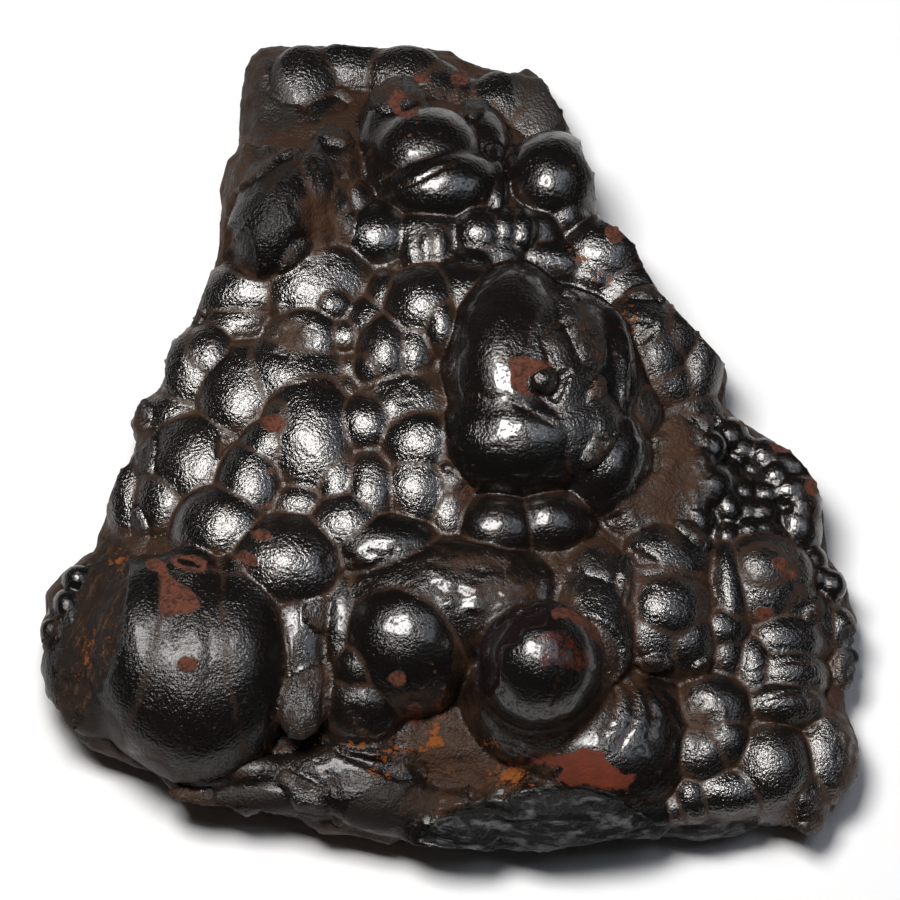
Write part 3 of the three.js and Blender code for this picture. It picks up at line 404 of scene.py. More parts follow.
def bed_object():
    """The bed between the lumps: rings from the middle of the top over the edge to the foot."""
    shares = np.concatenate([np.arange(1, BED_RINGS) / BED_RINGS, EDGE_SHARES])
    edge = OUTLINE[::-1]
    spokes = edge - OUTLINE_MIDDLE
    flat = OUTLINE_MIDDLE + shares[:, None, None] * spokes
    inward = (1 - shares)[:, None] * np.linalg.norm(spokes, axis=1)
    over = 1 - np.minimum(inward / EDGE_ROLL, 1)
    height = bed_height(flat[..., 0], flat[..., 1])
    height = height * (RIM_SHARE + (1 - RIM_SHARE) * np.sqrt(1 - over**2))
    rings = from_face(flat[..., 0], flat[..., 1], height)
    top = from_face(*OUTLINE_MIDDLE, bed_height(*OUTLINE_MIDDLE.reshape(2, 1))[0])
    under = np.array([top[0], top[1], -UNDERCUT])
    foot = under + (rings[-1] - under) * [FOOT_SHARE, FOOT_SHARE, 0]
    points = np.vstack([top[None], rings.reshape(-1, 3), foot, under[None]]) - FOOTPRINT_MIDDLE
    count = len(edge)
    first = 1 + count * np.arange(len(shares) + 1)
    faces = []
    for i in range(count):
        j = (i + 1) % count
        faces.append([0, first[0] + i, first[0] + j])
        for a, b in zip(first, first[1:]):
            faces.append([a + i, b + i, b + j, a + j])
        faces.append([first[-1] + i, len(points) - 1, first[-1] + j])
    return mesh_object("bed", points, [[int(corner) for corner in face] for face in faces])


def chunk_object():
    """The broken chunk: the hull of its corners."""
    corners = np.array(BROKEN_CHUNK, float)
    points = from_face(*corners.T) - FOOTPRINT_MIDDLE
    made = mesh_object("chunk", points, [])
    body = bmesh.new()
    body.from_mesh(made.data)
    bmesh.ops.convex_hull(body, input=body.verts)
    loose = [vert for vert in body.verts if not vert.link_faces]
    bmesh.ops.delete(body, geom=loose, context="VERTS")
    bmesh.ops.recalc_face_normals(body, faces=body.faces)
    body.to_mesh(made.data)
    body.free()
    return made


class Nodes:
    """Adds nodes to a tree: a node's type, its settings, then values or links for its sockets."""

    def __init__(self, tree):
        self.tree = tree

    def add(self, kind, settings=None, inputs=None):
        node = self.tree.nodes.new(kind)
        for name, value in (settings or {}).items():
            setattr(node, name, value)
        for name, value in (inputs or {}).items():
            socket = node.inputs[name]
            if isinstance(value, Term):
                value = value.socket
            if isinstance(value, bpy.types.NodeSocket):
                self.tree.links.new(value, socket)
            else:
                socket.default_value = value
        return node


BALL_FINENESS = 4


def lump_tree(material):
    """Instances a ball on every point, turned and stretched by the point's attributes."""
    tree = bpy.data.node_groups.new("Grow lumps", "GeometryNodeTree")
    face = tree.interface
    face.new_socket("Points", in_out="INPUT", socket_type="NodeSocketGeometry")
    fineness = face.new_socket("Ball fineness", in_out="INPUT", socket_type="NodeSocketInt")
    fineness.default_value = BALL_FINENESS
    face.new_socket("Lumps", in_out="OUTPUT", socket_type="NodeSocketGeometry")
    nodes = Nodes(tree)
    given = nodes.add("NodeGroupInput").outputs
    ball = nodes.add("GeometryNodeMeshIcoSphere", inputs={"Subdivisions": given["Ball fineness"]})
    turn = nodes.add("GeometryNodeInputNamedAttribute", {"data_type": "QUATERNION"}, {"Name": "turn"})
    size = nodes.add("GeometryNodeInputNamedAttribute", {"data_type": "FLOAT_VECTOR"}, {"Name": "size"})
    grown = nodes.add("GeometryNodeInstanceOnPoints", inputs={
        "Points": given["Points"],
        "Instance": ball.outputs["Mesh"],
        "Rotation": turn.outputs["Attribute"],
        "Scale": size.outputs["Attribute"],
    })
    solid = nodes.add("GeometryNodeRealizeInstances", inputs={"Geometry": grown.outputs[0]})
    finished = nodes.add("GeometryNodeSetMaterial", inputs={
        "Geometry": solid.outputs[0],
        "Material": material,
    })
    nodes.add("NodeGroupOutput", inputs={"Lumps": finished.outputs[0]})
    return tree


def applied(made):
    """A plain mesh of what an object's modifiers give, in its place."""
    evaluated = made.evaluated_get(bpy.context.evaluated_depsgraph_get())
    plain = bpy.data.meshes.new_from_object(evaluated)
    made.modifiers.clear()
    made.data = plain
    return made


def lumps_object(lumps, material):
    points = mesh_object("lumps", lumps.middles, [])
    turns = points.data.attributes.new("turn", "QUATERNION", "POINT")
    sizes = points.data.attributes.new("size", "FLOAT_VECTOR", "POINT")
    for i, (pose, radii) in enumerate(zip(lumps.poses, lumps.radii)):
        turns.data[i].value = Matrix((pose / radii).tolist()).to_quaternion()
        sizes.data[i].vector = radii * MM
    points.modifiers.new("Grow lumps", "NODES").node_group = lump_tree(material)
    return applied(points)


def positions(mesh):
    flat = np.empty(len(mesh.vertices) * 3)
    mesh.vertices.foreach_get("co", flat)
    return flat.reshape(-1, 3) / MM


def set_positions(mesh, points):
    mesh.vertices.foreach_set("co", (points * MM).ravel())
    mesh.update()


SETTLE_ROUNDS = 3
# How far in mm from the lumps points are drawn onto them, before and after the skin is thinned.
FUSED_REACH = 0.9
THINNED_REACH = 0.5


def settle(points, lumps, reach):
    """Draws points that lie near the lumps onto their surface, with the creases rounded."""
    for _ in range(SETTLE_ROUNDS):
        nearest, second, owner, slope, next_slope = lumps.distances(points)
        width = lumps.crease_widths[owner]
        share = np.clip(1 - (second - nearest) / width, 0, 1)
        far = nearest - width / 4 * share**2
        out = slope + (next_slope - slope) * (share / 2)[:, None]
        hold = np.clip((reach - np.abs(nearest)) / (reach / 2), 0, 1)
        points = points - out * (far * hold)[:, None]
    return points


def outline_overshoot(points):
    """How far points lie outside the outline on the face plane, and the way back in."""
    place = points + FOOTPRINT_MIDDLE
    flat = np.stack([place[:, 0], up_on_face(place[:, 1], place[:, 2])], axis=-1)
    spokes = flat - OUTLINE_MIDDLE
    corners = OUTLINE[::-1] - OUTLINE_MIDDLE
    angles = np.arctan2(corners[:, 1], corners[:, 0])
    reach = np.linalg.norm(corners, axis=1)
    order = np.argsort(angles)
    own = np.arctan2(spokes[:, 1], spokes[:, 0])
    limit = np.interp(own, angles[order], reach[order], period=2 * math.pi)
    length = np.linalg.norm(spokes, axis=1)
    over = np.maximum(length - limit, 0)
    inward = -spokes / np.maximum(length, 1)[:, None]
    return over, inward


def within_outline(points):
    over, inward = outline_overshoot(points)
    moved = points.copy()
    moved[:, 0] += inward[:, 0] * over
    moved[:, 1] += inward[:, 1] * over / SIN
    return moved


def fused_object(name, parts, voxel):
    """One closed skin round overlapping solids."""
    body = bmesh.new()
    for part in parts:
        body.from_mesh(part.data)
        bpy.data.objects.remove(part)
    mesh = bpy.data.meshes.new(name)
    body.to_mesh(mesh)
    body.free()
    fused = bpy.data.objects.new(name, mesh)
    bpy.context.scene.collection.objects.link(fused)
    remesh = fused.modifiers.new("Fuse", "REMESH")
    remesh.mode = "VOXEL"
    remesh.voxel_size = voxel * MM
    return applied(fused)


def thinned(made, triangles):
    """The same skin with about so many triangles, few of them where it is flat."""
    faces = sum(len(face.vertices) - 2 for face in made.data.polygons)
    if faces > triangles:
        thin = made.modifiers.new("Thin", "DECIMATE")
        thin.ratio = triangles / faces
        applied(made)
    return made


def cut_flat(made):
    """Cuts the skin off on the table and closes it there."""
    body = bmesh.new()
    body.from_mesh(made.data)
    everything = body.verts[:] + body.edges[:] + body.faces[:]
    cut = bmesh.ops.bisect_plane(
        body, geom=everything, plane_co=(0, 0, 0), plane_no=(0, 0, -1), clear_outer=True)
    rim = [item for item in cut["geom_cut"] if isinstance(item, bmesh.types.BMEdge)]
    bmesh.ops.triangle_fill(body, edges=rim, use_beauty=True)
    bmesh.ops.recalc_face_normals(body, faces=body.faces)
    body.to_mesh(made.data)
    body.free()
    return made


# Patches of other finishes on the ore: [across, up, half width, half length, turn in degrees].
PATCHES = {
    "earth": [
        [-36.5, -20.2, 2, 1.1, -20], [-46.8, -39.1, 1.8, 1.4, 0], [-33.5, -16.2, 1.8, 0.7, -15],
        [-9.4, -41.8, 1.8, 1.4, 0], [-6.3, -48.1, 1.6, 2.2, 0], [53.1, 3.8, 1.6, 0.7, 0],
        [59.4, -21.2, 1.4, 1.3, 0], [61.2, -23.2, 1.3, 0.9, 0], [56.2, -30.2, 1.6, 1.1, 10],
        [29.7, 38.3, 1.8, 1.6, -30], [1.8, 67, 1.6, 1.6, 0], [65.7, -6.7, 1.6, 2.5, -25],
        [60.3, -0.4, 2.5, 0.9, -10], [-5.4, 66.6, 1.4, 0.9, 0], [3.6, -8.1, 1.1, 0.7, 0],
        [-31.5, 3.8, 2.2, 1.6, 0], [-32, -4.5, 0.9, 0.7, 0], [-32.8, -10.8, 1.1, 0.7, 0],
    ],
    "bare": [
        [-54.2, -25.4, 2.3, 2.9, 0], [16.9, 11.5, 2, 2, 0], [-46.8, -21.2, 2.2, 0.5, -14],
    ],
    "rust": [
        [24.3, -55.3, 2.5, 1.3, 0],
    ],
    "ochre": [
        [10.8, -59.4, 4, 2.3, 0], [-2.7, -52.7, 2.5, 3.2, 0], [-9.9, -54.9, 4.7, 1.4, 20],
        [-1.8, -45.9, 1.1, 4.7, 10], [7.2, -53.5, 1.8, 1.4, 0], [-16.2, -54, 3.6, 0.9, 0],
        [-59.4, -20.7, 1.1, 2.2, -25], [-61.6, -35.1, 0.9, 2.9, -15], [26.3, 31.9, 4.7, 1.3, -35],
        [32.8, 22.9, 1.4, 2.5, -20], [26.3, 10.3, 0.9, 1.4, 0], [-65.2, -36.9, 1.1, 3.6, -15],
        [-33.3, -54.4, 2.2, 0.7, 0], [-12.6, -58.5, 2.9, 1.1, 0], [0.4, -58.5, 1.1, 0.9, 0],
    ],
    "grey_break": [
        [72.4, -40.1, 1.8, 2.9, 0], [71.6, -35.1, 1.8, 2.9, 0],
    ],
    "chip": [
        [-27, -66.1, 7.2, 2.2, -12], [-63.9, -50.4, 6.1, 3.6, -30], [-54, -57.6, 5.4, 1.8, -20],
    ],
    "fibre": [
        [-68.4, -42.3, 2.5, 5.4, -10],
    ],
    "umber": [
        [41.4, -2.7, 6.1, 11.2, 20], [5.4, -58.5, 12.6, 6.1, 0], [34.2, 4.5, 2.9, 7.2, 20],
        [-18, -20.7, 5.4, 2.5, 0], [68.4, -45.9, 5, 5, 0], [71.1, -52.2, 3.2, 7.2, 0],
        [45, -49.5, 5, 5.4, 0], [34.2, -23.4, 5.4, 3.6, 0], [3.6, -20.7, 10.8, 3.6, 0],
        [-1.8, -63.9, 10.8, 4.7, 0], [-23.4, 40.5, 6.1, 9.4, 0], [-37.8, 50.4, 4, 6.5, 0],
        [-10.8, 9, 5.4, 2.5, 0], [0, -4.5, 2.9, 7.2, 0], [-28.8, 20.7, 5.4, 5.4, 0],
        [19.8, -22.5, 5.4, 2.5, 0], [66.6, -63.9, 4.3, 4.7, 0], [-18.9, 49.5, 3.2, 7.2, 0],
        [25.2, 30.6, 5.4, 1.4, -30], [9, -26.1, 16.2, 4, 0],
    ],
}

# Patches of other finishes by their corners: [across, up].
PATCH_OUTLINES = {
    "earth": [
        [[-54.7, -21.1], [-52.6, -20.2], [-50.8, -21.1], [-50.2, -23.2], [-49, -24.3],
         [-46.4, -25.6], [-44.8, -27.2], [-44.6, -29], [-46.3, -30.1], [-49.3, -30.2],
         [-51.1, -30.6], [-52.2, -29.3], [-51.5, -26.8], [-51.7, -24.3], [-52.7, -22.9],
         [-54.2, -22.5]],
        [[-50.4, -20.7], [-49, -19.6], [-46.1, -19.4], [-43.6, -20.9], [-43.7, -22.3],
         [-45.5, -23], [-47.9, -22.1], [-49.3, -21.8]],
        [[-10.8, 63.5], [-9.4, 65], [-7.6, 63.5], [-9.4, 62.1], [-8.6, 60.7], [-6.7, 61],
         [-5.6, 61.7], [-5.8, 60.1], [-8.1, 58.9], [-10.1, 59.9], [-11.3, 62.1]],
        [[10.6, 15.7], [13, 16.2], [15.8, 15.3], [19.1, 14.6], [16.2, 13.3], [14.2, 12.1],
         [13.7, 9.9], [15.1, 8.5], [13, 8.8], [11.2, 10.3], [10.4, 13.1]],
        [[17.1, -30.2], [19.1, -29], [22, -29.3], [24.8, -31.5], [26.6, -34], [27.2, -36.2],
         [25.6, -34.7], [23.4, -32.2], [20.9, -30.8], [18.7, -31]],
    ],
    "rust": [
        [[11.2, -55.3], [16.2, -56], [22.5, -54.9], [27, -54.5], [29.2, -57.1], [31, -58.5],
         [33.5, -58.9], [32, -61], [29.2, -61.9], [26.3, -61], [21.6, -60.8], [18.9, -59.9],
         [20.2, -57.4], [17.1, -57.1], [12.6, -56.3]],
    ],
    "grey_break": [
        [[-6.5, -70.7], [-3.6, -67.9], [-0.4, -65.3], [3.6, -63.9], [9, -63.7], [12.6, -62.5],
         [17.1, -61.2], [23.4, -61], [29.2, -62.5], [34.2, -66.1], [36.9, -67.9], [43.2, -67.9],
         [52.2, -67.1], [57.6, -67.9], [57.6, -71.1], [34.2, -71.5], [19.8, -72.9], [3.6, -72.9]],
    ],
    "chip": [
        [[-46.4, -63.4], [-44.1, -61.6], [-39.6, -60.8], [-33.8, -61.6], [-28.8, -63.4],
         [-27, -65.3], [-33.8, -65], [-39.6, -64.3]],
        [[-18.9, -66.1], [-17.6, -63.4], [-13, -60.8], [-8.1, -60.3], [-3.2, -62.1], [-1.8, -63.9],
         [-5.4, -66.6], [-11.7, -68.6], [-17.1, -68.9]],
        [[-37.8, 69.3], [-33.8, 72.2], [-31.3, 70.7], [-30.2, 67.5], [-28.8, 63.5], [-27.7, 59.9],
         [-27.4, 57.1], [-38.5, 56.3], [-38.2, 63]],
        [[11.2, 67.5], [14, 68.9], [17.1, 66.6], [20.9, 58.9], [17.6, 57.1], [14, 59.9],
         [11.7, 63]],
    ],
    "fibre": [
        [[-63.4, -16.2], [-59, -17.1], [-57.2, -20.7], [-58, -27.9], [-59.8, -36.9],
         [-62.3, -44.1], [-65.9, -49.5], [-69.1, -48.1], [-71.1, -44.1], [-70.2, -36.9],
         [-66.6, -27.9]],
        [[-33.8, 48.1], [-29.7, 51.3], [-26.6, 53.8], [-27, 50.2], [-30.6, 47.7], [-33.1, 45.9]],
    ],
    "umber": [
        [[34.2, 8.1], [43.2, 7.2], [47.2, 2.7], [45, -4.5], [44.1, -13.5], [41.4, -20.7],
         [36.9, -17.1], [30.6, -13.5], [27, -10.8], [34.2, -6.3], [36.9, 0.9]],
        [[-19.8, -44.1], [-9.9, -52.2], [-1.8, -45.9], [3.6, -54], [19.8, -59.4], [19.8, -61.7],
         [9, -62.5], [-1.8, -62.5], [-9, -58.9], [-18, -54]],
    ],
    "crust": [
        [[14.9, -35.1], [17.1, -33.5], [19.8, -32.4], [22.5, -35.1], [24.8, -37.3], [25.7, -39.2],
         [23.8, -40.3], [20.2, -40], [18.4, -38.7], [16.4, -39.4], [15.1, -37.3]],
    ],
    "recess": [
        [[4.3, -44.1], [7.2, -44.5], [8.6, -42.3], [9, -38.7], [9.5, -36.2], [12.6, -35.1],
         [13, -32.9], [17.3, -32.2], [17.6, -30.1], [15.8, -28.4], [9.9, -29.9], [6.1, -33.3],
         [4, -37.8]],
    ],
}

# Cracks and creases cut in, and with a depth below 0 ridges: width, depth, points across and up.
LINES = [
    (0.9, 0.45, [[-9.7, 46.4], [-6.3, 47.5], [-2.5, 49.5], [1.1, 51.1]]),
    (0.9, 0.35, [[-1.8, 8.3], [3.6, 8.8], [9, 8.5], [12.6, 7], [16.2, 4.9], [19.1, 3.4]]),
    (1.08, 0.5, [[17.3, 16.4], [16.7, 18.9], [17.8, 21.2], [20.3, 22.3], [23.4, 21.6],
         [25.4, 19.4], [26.5, 16.4]]),
    (0.54, 0.2, [[14.6, 23.2], [13.9, 20.7], [14.4, 17.8]]),
    (0.54, 0.2, [[16.4, 22.5], [15.5, 19.6]]),
    (0.72, 0.18, [[-43.9, -30.1], [-42.5, -35.1], [-43.4, -41.4], [-45, -46.8]]),
    (1.08, -0.3, [[-29.9, -30.1], [-28.4, -35.1], [-27.7, -44.1], [-28.8, -52.7]]),
    (0.54, 0.4, [[19.8, -39.1], [19.1, -42.3], [18, -45], [17.1, -47.7], [15.8, -49.9],
         [14.4, -52.6]]),
    (0.54, 0.3, [[25.2, -39.2], [27, -41.9], [29.3, -45.9]]),
    (1.44, 0.6, [[27.7, -39.8], [29.3, -42.3], [29.9, -45.4], [29.3, -48.6], [27.7, -51.3]]),
    (1.62, 0.6, [[30.2, -40.9], [32.8, -44.1], [33.3, -47.3], [32.2, -50.9], [30.1, -53.8]]),
    (1.26, 0.4, [[33.1, -41.6], [35.5, -44.8], [36.4, -48.4], [35.6, -52.4]]),
    (0.9, 0.3, [[36, -43], [38.9, -46.6], [40.1, -50.9], [39.2, -55.3], [36.9, -58.5]]),
    (0.9, 0.3, [[31.7, -24.7], [30.6, -30.1], [31.9, -35.1], [34.2, -38.7]]),
    (0.72, 0.35, [[-24.8, -54.9], [-21.6, -59.4], [-18.9, -63.9]]),
    (0.72, 0.3, [[-28.6, -54], [-27.7, -62.1]]),
    (0.9, 0.35, [[-22.5, -26.1], [-22, -36.9], [-22.5, -45.9], [-23.8, -54]]),
    (1.26, 0.9, [[-1.8, -66.1], [0.9, -65], [4.5, -64.4], [9, -65.2], [11.2, -66.1]]),
    (0.9, 0.6, [[9.9, -66.1], [12.1, -63.4], [17.1, -61.7], [23.4, -61.6], [28.4, -63],
         [33.8, -66.6]]),
    (0.72, 0.5, [[-3.6, -68.9], [0, -66.6], [5.4, -66.1], [9.9, -67.5], [19.8, -66.8], [27, -67.5]]),
    (1.62, 0.9, [[22.5, -65], [25.6, -63.9], [28.1, -65]]),
    (0.72, 0.3, [[-18, -26.5], [-14, -24.3], [-9.4, -25.4], [-5.4, -27.9]]),
    (0.54, 0.25, [[-15.3, -23.4], [-9, -18], [-1.8, -18], [5.4, -20.7]]),
    (0.54, 0.25, [[-8.6, -20.7], [-6.8, -24.3], [-8.3, -26.5]]),
    (0.72, 0.3, [[-41.8, 22.9], [-37.8, 20.7], [-31.5, 22.1]]),
    (0.72, 0.3, [[-40.5, 18], [-34.2, 18.5], [-27, 19.8]]),
    (0.72, 0.35, [[-30.2, 10.8], [-25.2, 11.3], [-20.2, 10.3]]),
    (0.54, 0.2, [[3.6, -1.3], [8.1, -0.4], [12.6, -0.4]]),
    (0.72, 0.35, [[51.8, -35.1], [54, -33.7], [56.2, -35.1]]),
    (0.9, 0.4, [[55.1, -45.9], [61.2, -44.1], [65.7, -45]]),
    (0.9, 0.4, [[54.4, -40.9], [60.3, -38.7], [65.7, -39.1]]),
    (0.9, -0.4, [[-26.6, 54.5], [-29.7, 49.1], [-34.6, 43.2], [-41, 33.7]]),
    (0.72, 0.3, [[-27, 53.8], [-24.8, 51.3], [-23.8, 45.9]]),
    (0.72, 0.3, [[34.2, 9], [36.9, 6.3], [35.6, 2.7]]),
]

# Width over which the crease between two lumps of a group is rounded, in mm.
CREASE_WIDTHS = {
    "great_lump": 0.9,
    "swirl": 0.5,
    "barrel": 2.4,
    "middle_low": 0.5,
    "broken_lump": 0.8,
    "top_row": 0.5,
    "crown": 0.5,
    "saddle": 0.5,
    "shoulder": 0.9,
    "left_field": 0.6,
    "right_slope": 0.8,
    "grapes": 0.4,
    "lower_right": 0.6,
    "foot_left": 0.6,
    "left_tip": 0.6,
}
BED_CREASE_WIDTH = 1.0

# How each group of lumps is finished: gloss, how much of it a thin brown film covers, and the
# share of the light that its clean skin mirrors.
FINISHES = {
    "great_lump": (0.95, 0.12, 0.065),
    "swirl": (0.55, 0.2, 0.11),
    "barrel": (0.66, 0.28, 0.045),
    "middle_low": (0.85, 0.34, 0.045),
    "broken_lump": (0.35, 0.5, 0.03),
    "top_row": (0.6, 0.35, 0.09),
    "crown": (0.9, 0.22, 0.07),
    "saddle": (0.85, 0.25, 0.12),
    "shoulder": (0.5, 0.5, 0.07),
    "left_field": (0.7, 0.5, 0.17),
    "right_slope": (0.55, 0.45, 0.11),
    "grapes": (0.95, 0.15, 0.09),
    "lower_right": (0.65, 0.5, 0.15),
    "foot_left": (0.7, 0.2, 0.03),
    "left_tip": (0.8, 0.25, 0.05),
}
BED_FINISH = (0.2, 0.85, 0.07)
PATCH_REACH = 6.0


def ellipse_depth(flat, rows):
    """How far places on the face plane lie inside the nearest of some ellipses, in mm."""
    depth = np.full(len(flat), -PATCH_REACH)
    for across, up, half_width, half_length, degrees in rows:
        turn = math.radians(degrees)
        dx, dy = flat[:, 0] - across, flat[:, 1] - up
        wide = (dx * math.cos(turn) + dy * math.sin(turn)) / half_width
        long = (dy * math.cos(turn) - dx * math.sin(turn)) / half_length
        inside = (1 - np.hypot(wide, long)) * min(half_width, half_length)
        depth = np.maximum(depth, inside)
    return depth


def line_distance(flat, points):
    """How far places lie from a line through some points."""
    distance = np.full(len(flat), PATCH_REACH)
    for start, end in zip(points, points[1:]):
        way = end - start
        share = np.clip(((flat - start) @ way) / (way @ way), 0, 1)
        distance = np.minimum(distance, np.linalg.norm(flat - start - share[:, None] * way, axis=1))
    return distance


def outline_depth(flat, outlines):
    """How far places lie inside the nearest of some closed outlines, in mm."""
    depth = np.full(len(flat), -PATCH_REACH)
    for corners in outlines:
        ring = np.array(corners + corners[:1])
        inside = np.zeros(len(flat), bool)
        for (x0, y0), (x1, y1) in zip(ring, ring[1:]):
            if y0 != y1:
                beside = x0 + (flat[:, 1] - y0) / (y1 - y0) * (x1 - x0) > flat[:, 0]
                inside ^= beside & ((flat[:, 1] < y0) != (flat[:, 1] < y1))
        distance = line_distance(flat, ring)
        depth = np.maximum(depth, np.where(inside, distance, -distance))
    return depth


def patch_depth(flat, name):
    """How far places lie inside the nearest patch of a kind, in mm."""
    in_ellipse = ellipse_depth(flat, PATCHES.get(name, []))
    in_outline = outline_depth(flat, PATCH_OUTLINES.get(name, []))
    return np.maximum(in_ellipse, in_outline)


# How steeply a cut line falls off to its sides: 1 is a plain wedge.
LINE_STEEPNESS = 1.5


def line_share(flat, rows):
    """For each place, how much the lines take away there in all, in mm."""
    cut = np.zeros(len(flat))
    for width, depth, points in rows:
        near = line_distance(flat, np.array(points)) / (width / 2)
        cut += depth * np.clip(1 - near, 0, 1) ** LINE_STEEPNESS
    return cut


# The grid for the mean height: its cell in mm, how many cells each way are averaged, how often,
# and the least share of known cells.
HOLLOW_CELL = 0.8
HOLLOW_SPAN = 4
HOLLOW_ROUNDS = 3
LEAST_KNOWN = 1e-6


def hollow_depth(points):
    """How far points lie below the mean height round them, in mm."""
    cells = np.floor((points[:, :2] - points[:, :2].min(0)) / HOLLOW_CELL).astype(int)
    shape = cells.max(0) + 1
    top = np.full(shape, -1.0)
    np.maximum.at(top, (cells[:, 0], cells[:, 1]), points[:, 2])
    known = (top > 0).astype(float)
    total = np.where(top > 0, top, 0)
    for _ in range(HOLLOW_ROUNDS):
        total, known = box_mean(total), box_mean(known)
    mean = total / np.maximum(known, LEAST_KNOWN)
    return mean[cells[:, 0], cells[:, 1]] - points[:, 2]


def box_mean(grid):
    """The mean of the cells round each cell of a grid."""
    for axis in (0, 1):
        grid = sum(np.roll(grid, step, axis) for step in range(-HOLLOW_SPAN, HOLLOW_SPAN + 1))
        grid = grid / (2 * HOLLOW_SPAN + 1)
    return grid


def waves(points, sizes, seed=0.0):
    """Smooth unevenness from waves of some widths and heights, in mm."""
    rise = np.zeros(len(points))
    for size, height in sizes:
        rise += [height * noise.noise(Vector(point) / size + Vector((seed, 0, 0))) for point in points]
    return rise


# Waves, each about how wide and how high in mm: all over, in broken ore and in earthy hollows.
UNEVENNESS = ((9.0, 0.3), (4.0, 0.14), (1.7, 0.06))
BREAKS = ((7.0, 1.8), (2.5, 0.6))
BREAK_SEED = 7.0
CLODS = ((3.2, 0.5), (1.5, 0.25))
CLOD_SEED = 3.0
# How much finer the broken layers are along each axis.
LAYERING = (0.5, 1, 2)
# In mm: the depth of the recess, and how far inside a patch its relief is at its full strength.
RECESS = 0.6
PATCH_SLOPE = 0.5
# How much of the unevenness a chip has lost.
CHIP_SMOOTHING = 0.5
RELIEF_PATCHES = ("grey_break", "fibre", "chip", "recess", "umber")


def relief(points, values):
    """Height of the skin's own unevenness over its grown form, in mm."""
    share = {name: np.clip(values[name] / PATCH_SLOPE, 0, 1) for name in RELIEF_PATCHES}
    broken = np.maximum(share["grey_break"], share["fibre"])
    rise = waves(points, UNEVENNESS) * (1 - share["chip"] * CHIP_SMOOTHING)
    rise -= broken * np.abs(waves(points * LAYERING, BREAKS, BREAK_SEED))
    rise -= share["recess"] * RECESS
    earthy = np.maximum(share["umber"], values["gloss"] <= BED_FINISH[0])
    rise += earthy * waves(points, CLODS, CLOD_SEED)
    return rise


# The height in mm over the table below which the relief fades out, down to none at the table.
FOOT_BAND = 1.0


def raise_skin(mesh):
    """Moves the skin along its normals by its relief, which then isn't needed any more."""
    normals = np.empty(len(mesh.vertices) * 3)
    mesh.vertex_normals.foreach_get("vector", normals)
    rise = np.empty(len(mesh.vertices))
    mesh.attributes["relief"].data.foreach_get("value", rise)
    points = positions(mesh)
    held = np.clip(points[:, 2] / FOOT_BAND, 0, 1)
    set_positions(mesh, points + normals.reshape(-1, 3) * (rise * held)[:, None])
    mesh.attributes.remove(mesh.attributes["relief"])


# Factors that scatter the sines of whole numbers all over 0 to 1.
SCATTER_STEP = 12.9898
SCATTER_SCALE = 43758.5453
# The distance in mm from the nearest lump up to which the skin has that lump's finish.
ON_LUMP = 0.6


def scattered(count):
    """So many shares between 0 and 1 in no order, the same in every run."""
    return np.modf(np.abs(np.sin(np.arange(count) * SCATTER_STEP)) * SCATTER_SCALE)[0]


def write_finish(mesh, lumps):
    """Stores on every point what the ore's material needs to know about its place."""
    points = positions(mesh)
    nearest, second, owner, _, _ = lumps.distances(points)
    place = points + FOOTPRINT_MIDDLE
    flat = np.stack([place[:, 0], up_on_face(place[:, 1], place[:, 2])], axis=-1)
    finishes = np.array([FINISHES[group] for group in lumps.groups] + [BED_FINISH])
    on_bed = nearest > ON_LUMP
    finish = finishes[np.where(on_bed, -1, owner)]
    tints = scattered(len(lumps.groups) + 1)
    values = {
        "seam": np.where(on_bed, np.maximum(nearest, 0), second - nearest),
        "hollow": hollow_depth(points),
        "gloss": finish[:, 0],
        "film": finish[:, 1],
        "mirror": finish[:, 2],
        "tint": tints[np.where(on_bed, -1, owner)],
    }
    cut = line_share(flat, LINES)
    values["crack"] = np.maximum(cut, 0)
    for name in sorted({*PATCHES, *PATCH_OUTLINES}):
        values[name] = patch_depth(flat, name)
    values["relief"] = relief(points, values) - cut
    for name, value in values.items():
        layer = mesh.attributes.new(name, "FLOAT", "POINT")
        layer.data.foreach_set("value", value.astype(np.float32))


MIDDLE_SHARE = 0.5


class Term:
    """A socket of a shader tree that takes part in Python expressions."""

    def __init__(self, nodes, socket):
        self.nodes = nodes
        self.socket = socket

    def _math(self, operation, *values):
        inputs = dict(enumerate(values))
        made = self.nodes.add("ShaderNodeMath", {"operation": operation}, inputs)
        return Term(self.nodes, made.outputs[0])

    def __add__(self, other):
        return self._math("ADD", self, other)

    def __radd__(self, other):
        return self._math("ADD", other, self)

    def __sub__(self, other):
        return self._math("SUBTRACT", self, other)

    def __rsub__(self, other):
        return self._math("SUBTRACT", other, self)

    def __mul__(self, other):
        return self._math("MULTIPLY", self, other)

    def __truediv__(self, other):
        return self._math("DIVIDE", self, other)

    def least(self, other):
        return self._math("MINIMUM", self, other)

    def most(self, other):
        return self._math("MAXIMUM", self, other)

    def swing(self, amount):
        """The socket's 0 to 1 laid out evenly round 0, so much in all."""
        return (self - MIDDLE_SHARE) * amount

    def rise(self, low, high):
        """0 below low, 1 above high, and smooth between them."""
        inputs = {"Value": self, "From Min": low, "From Max": high}
        made = self.nodes.add("ShaderNodeMapRange", {"interpolation_type": "SMOOTHSTEP"}, inputs)
        return Term(self.nodes, made.outputs[0])

    def spread(self, low, high):
        """The socket's 0 to 1 laid out from low to high."""
        inputs = {"Value": self, "To Min": low, "To Max": high}
        made = self.nodes.add("ShaderNodeMapRange", inputs=inputs)
        return Term(self.nodes, made.outputs[0])


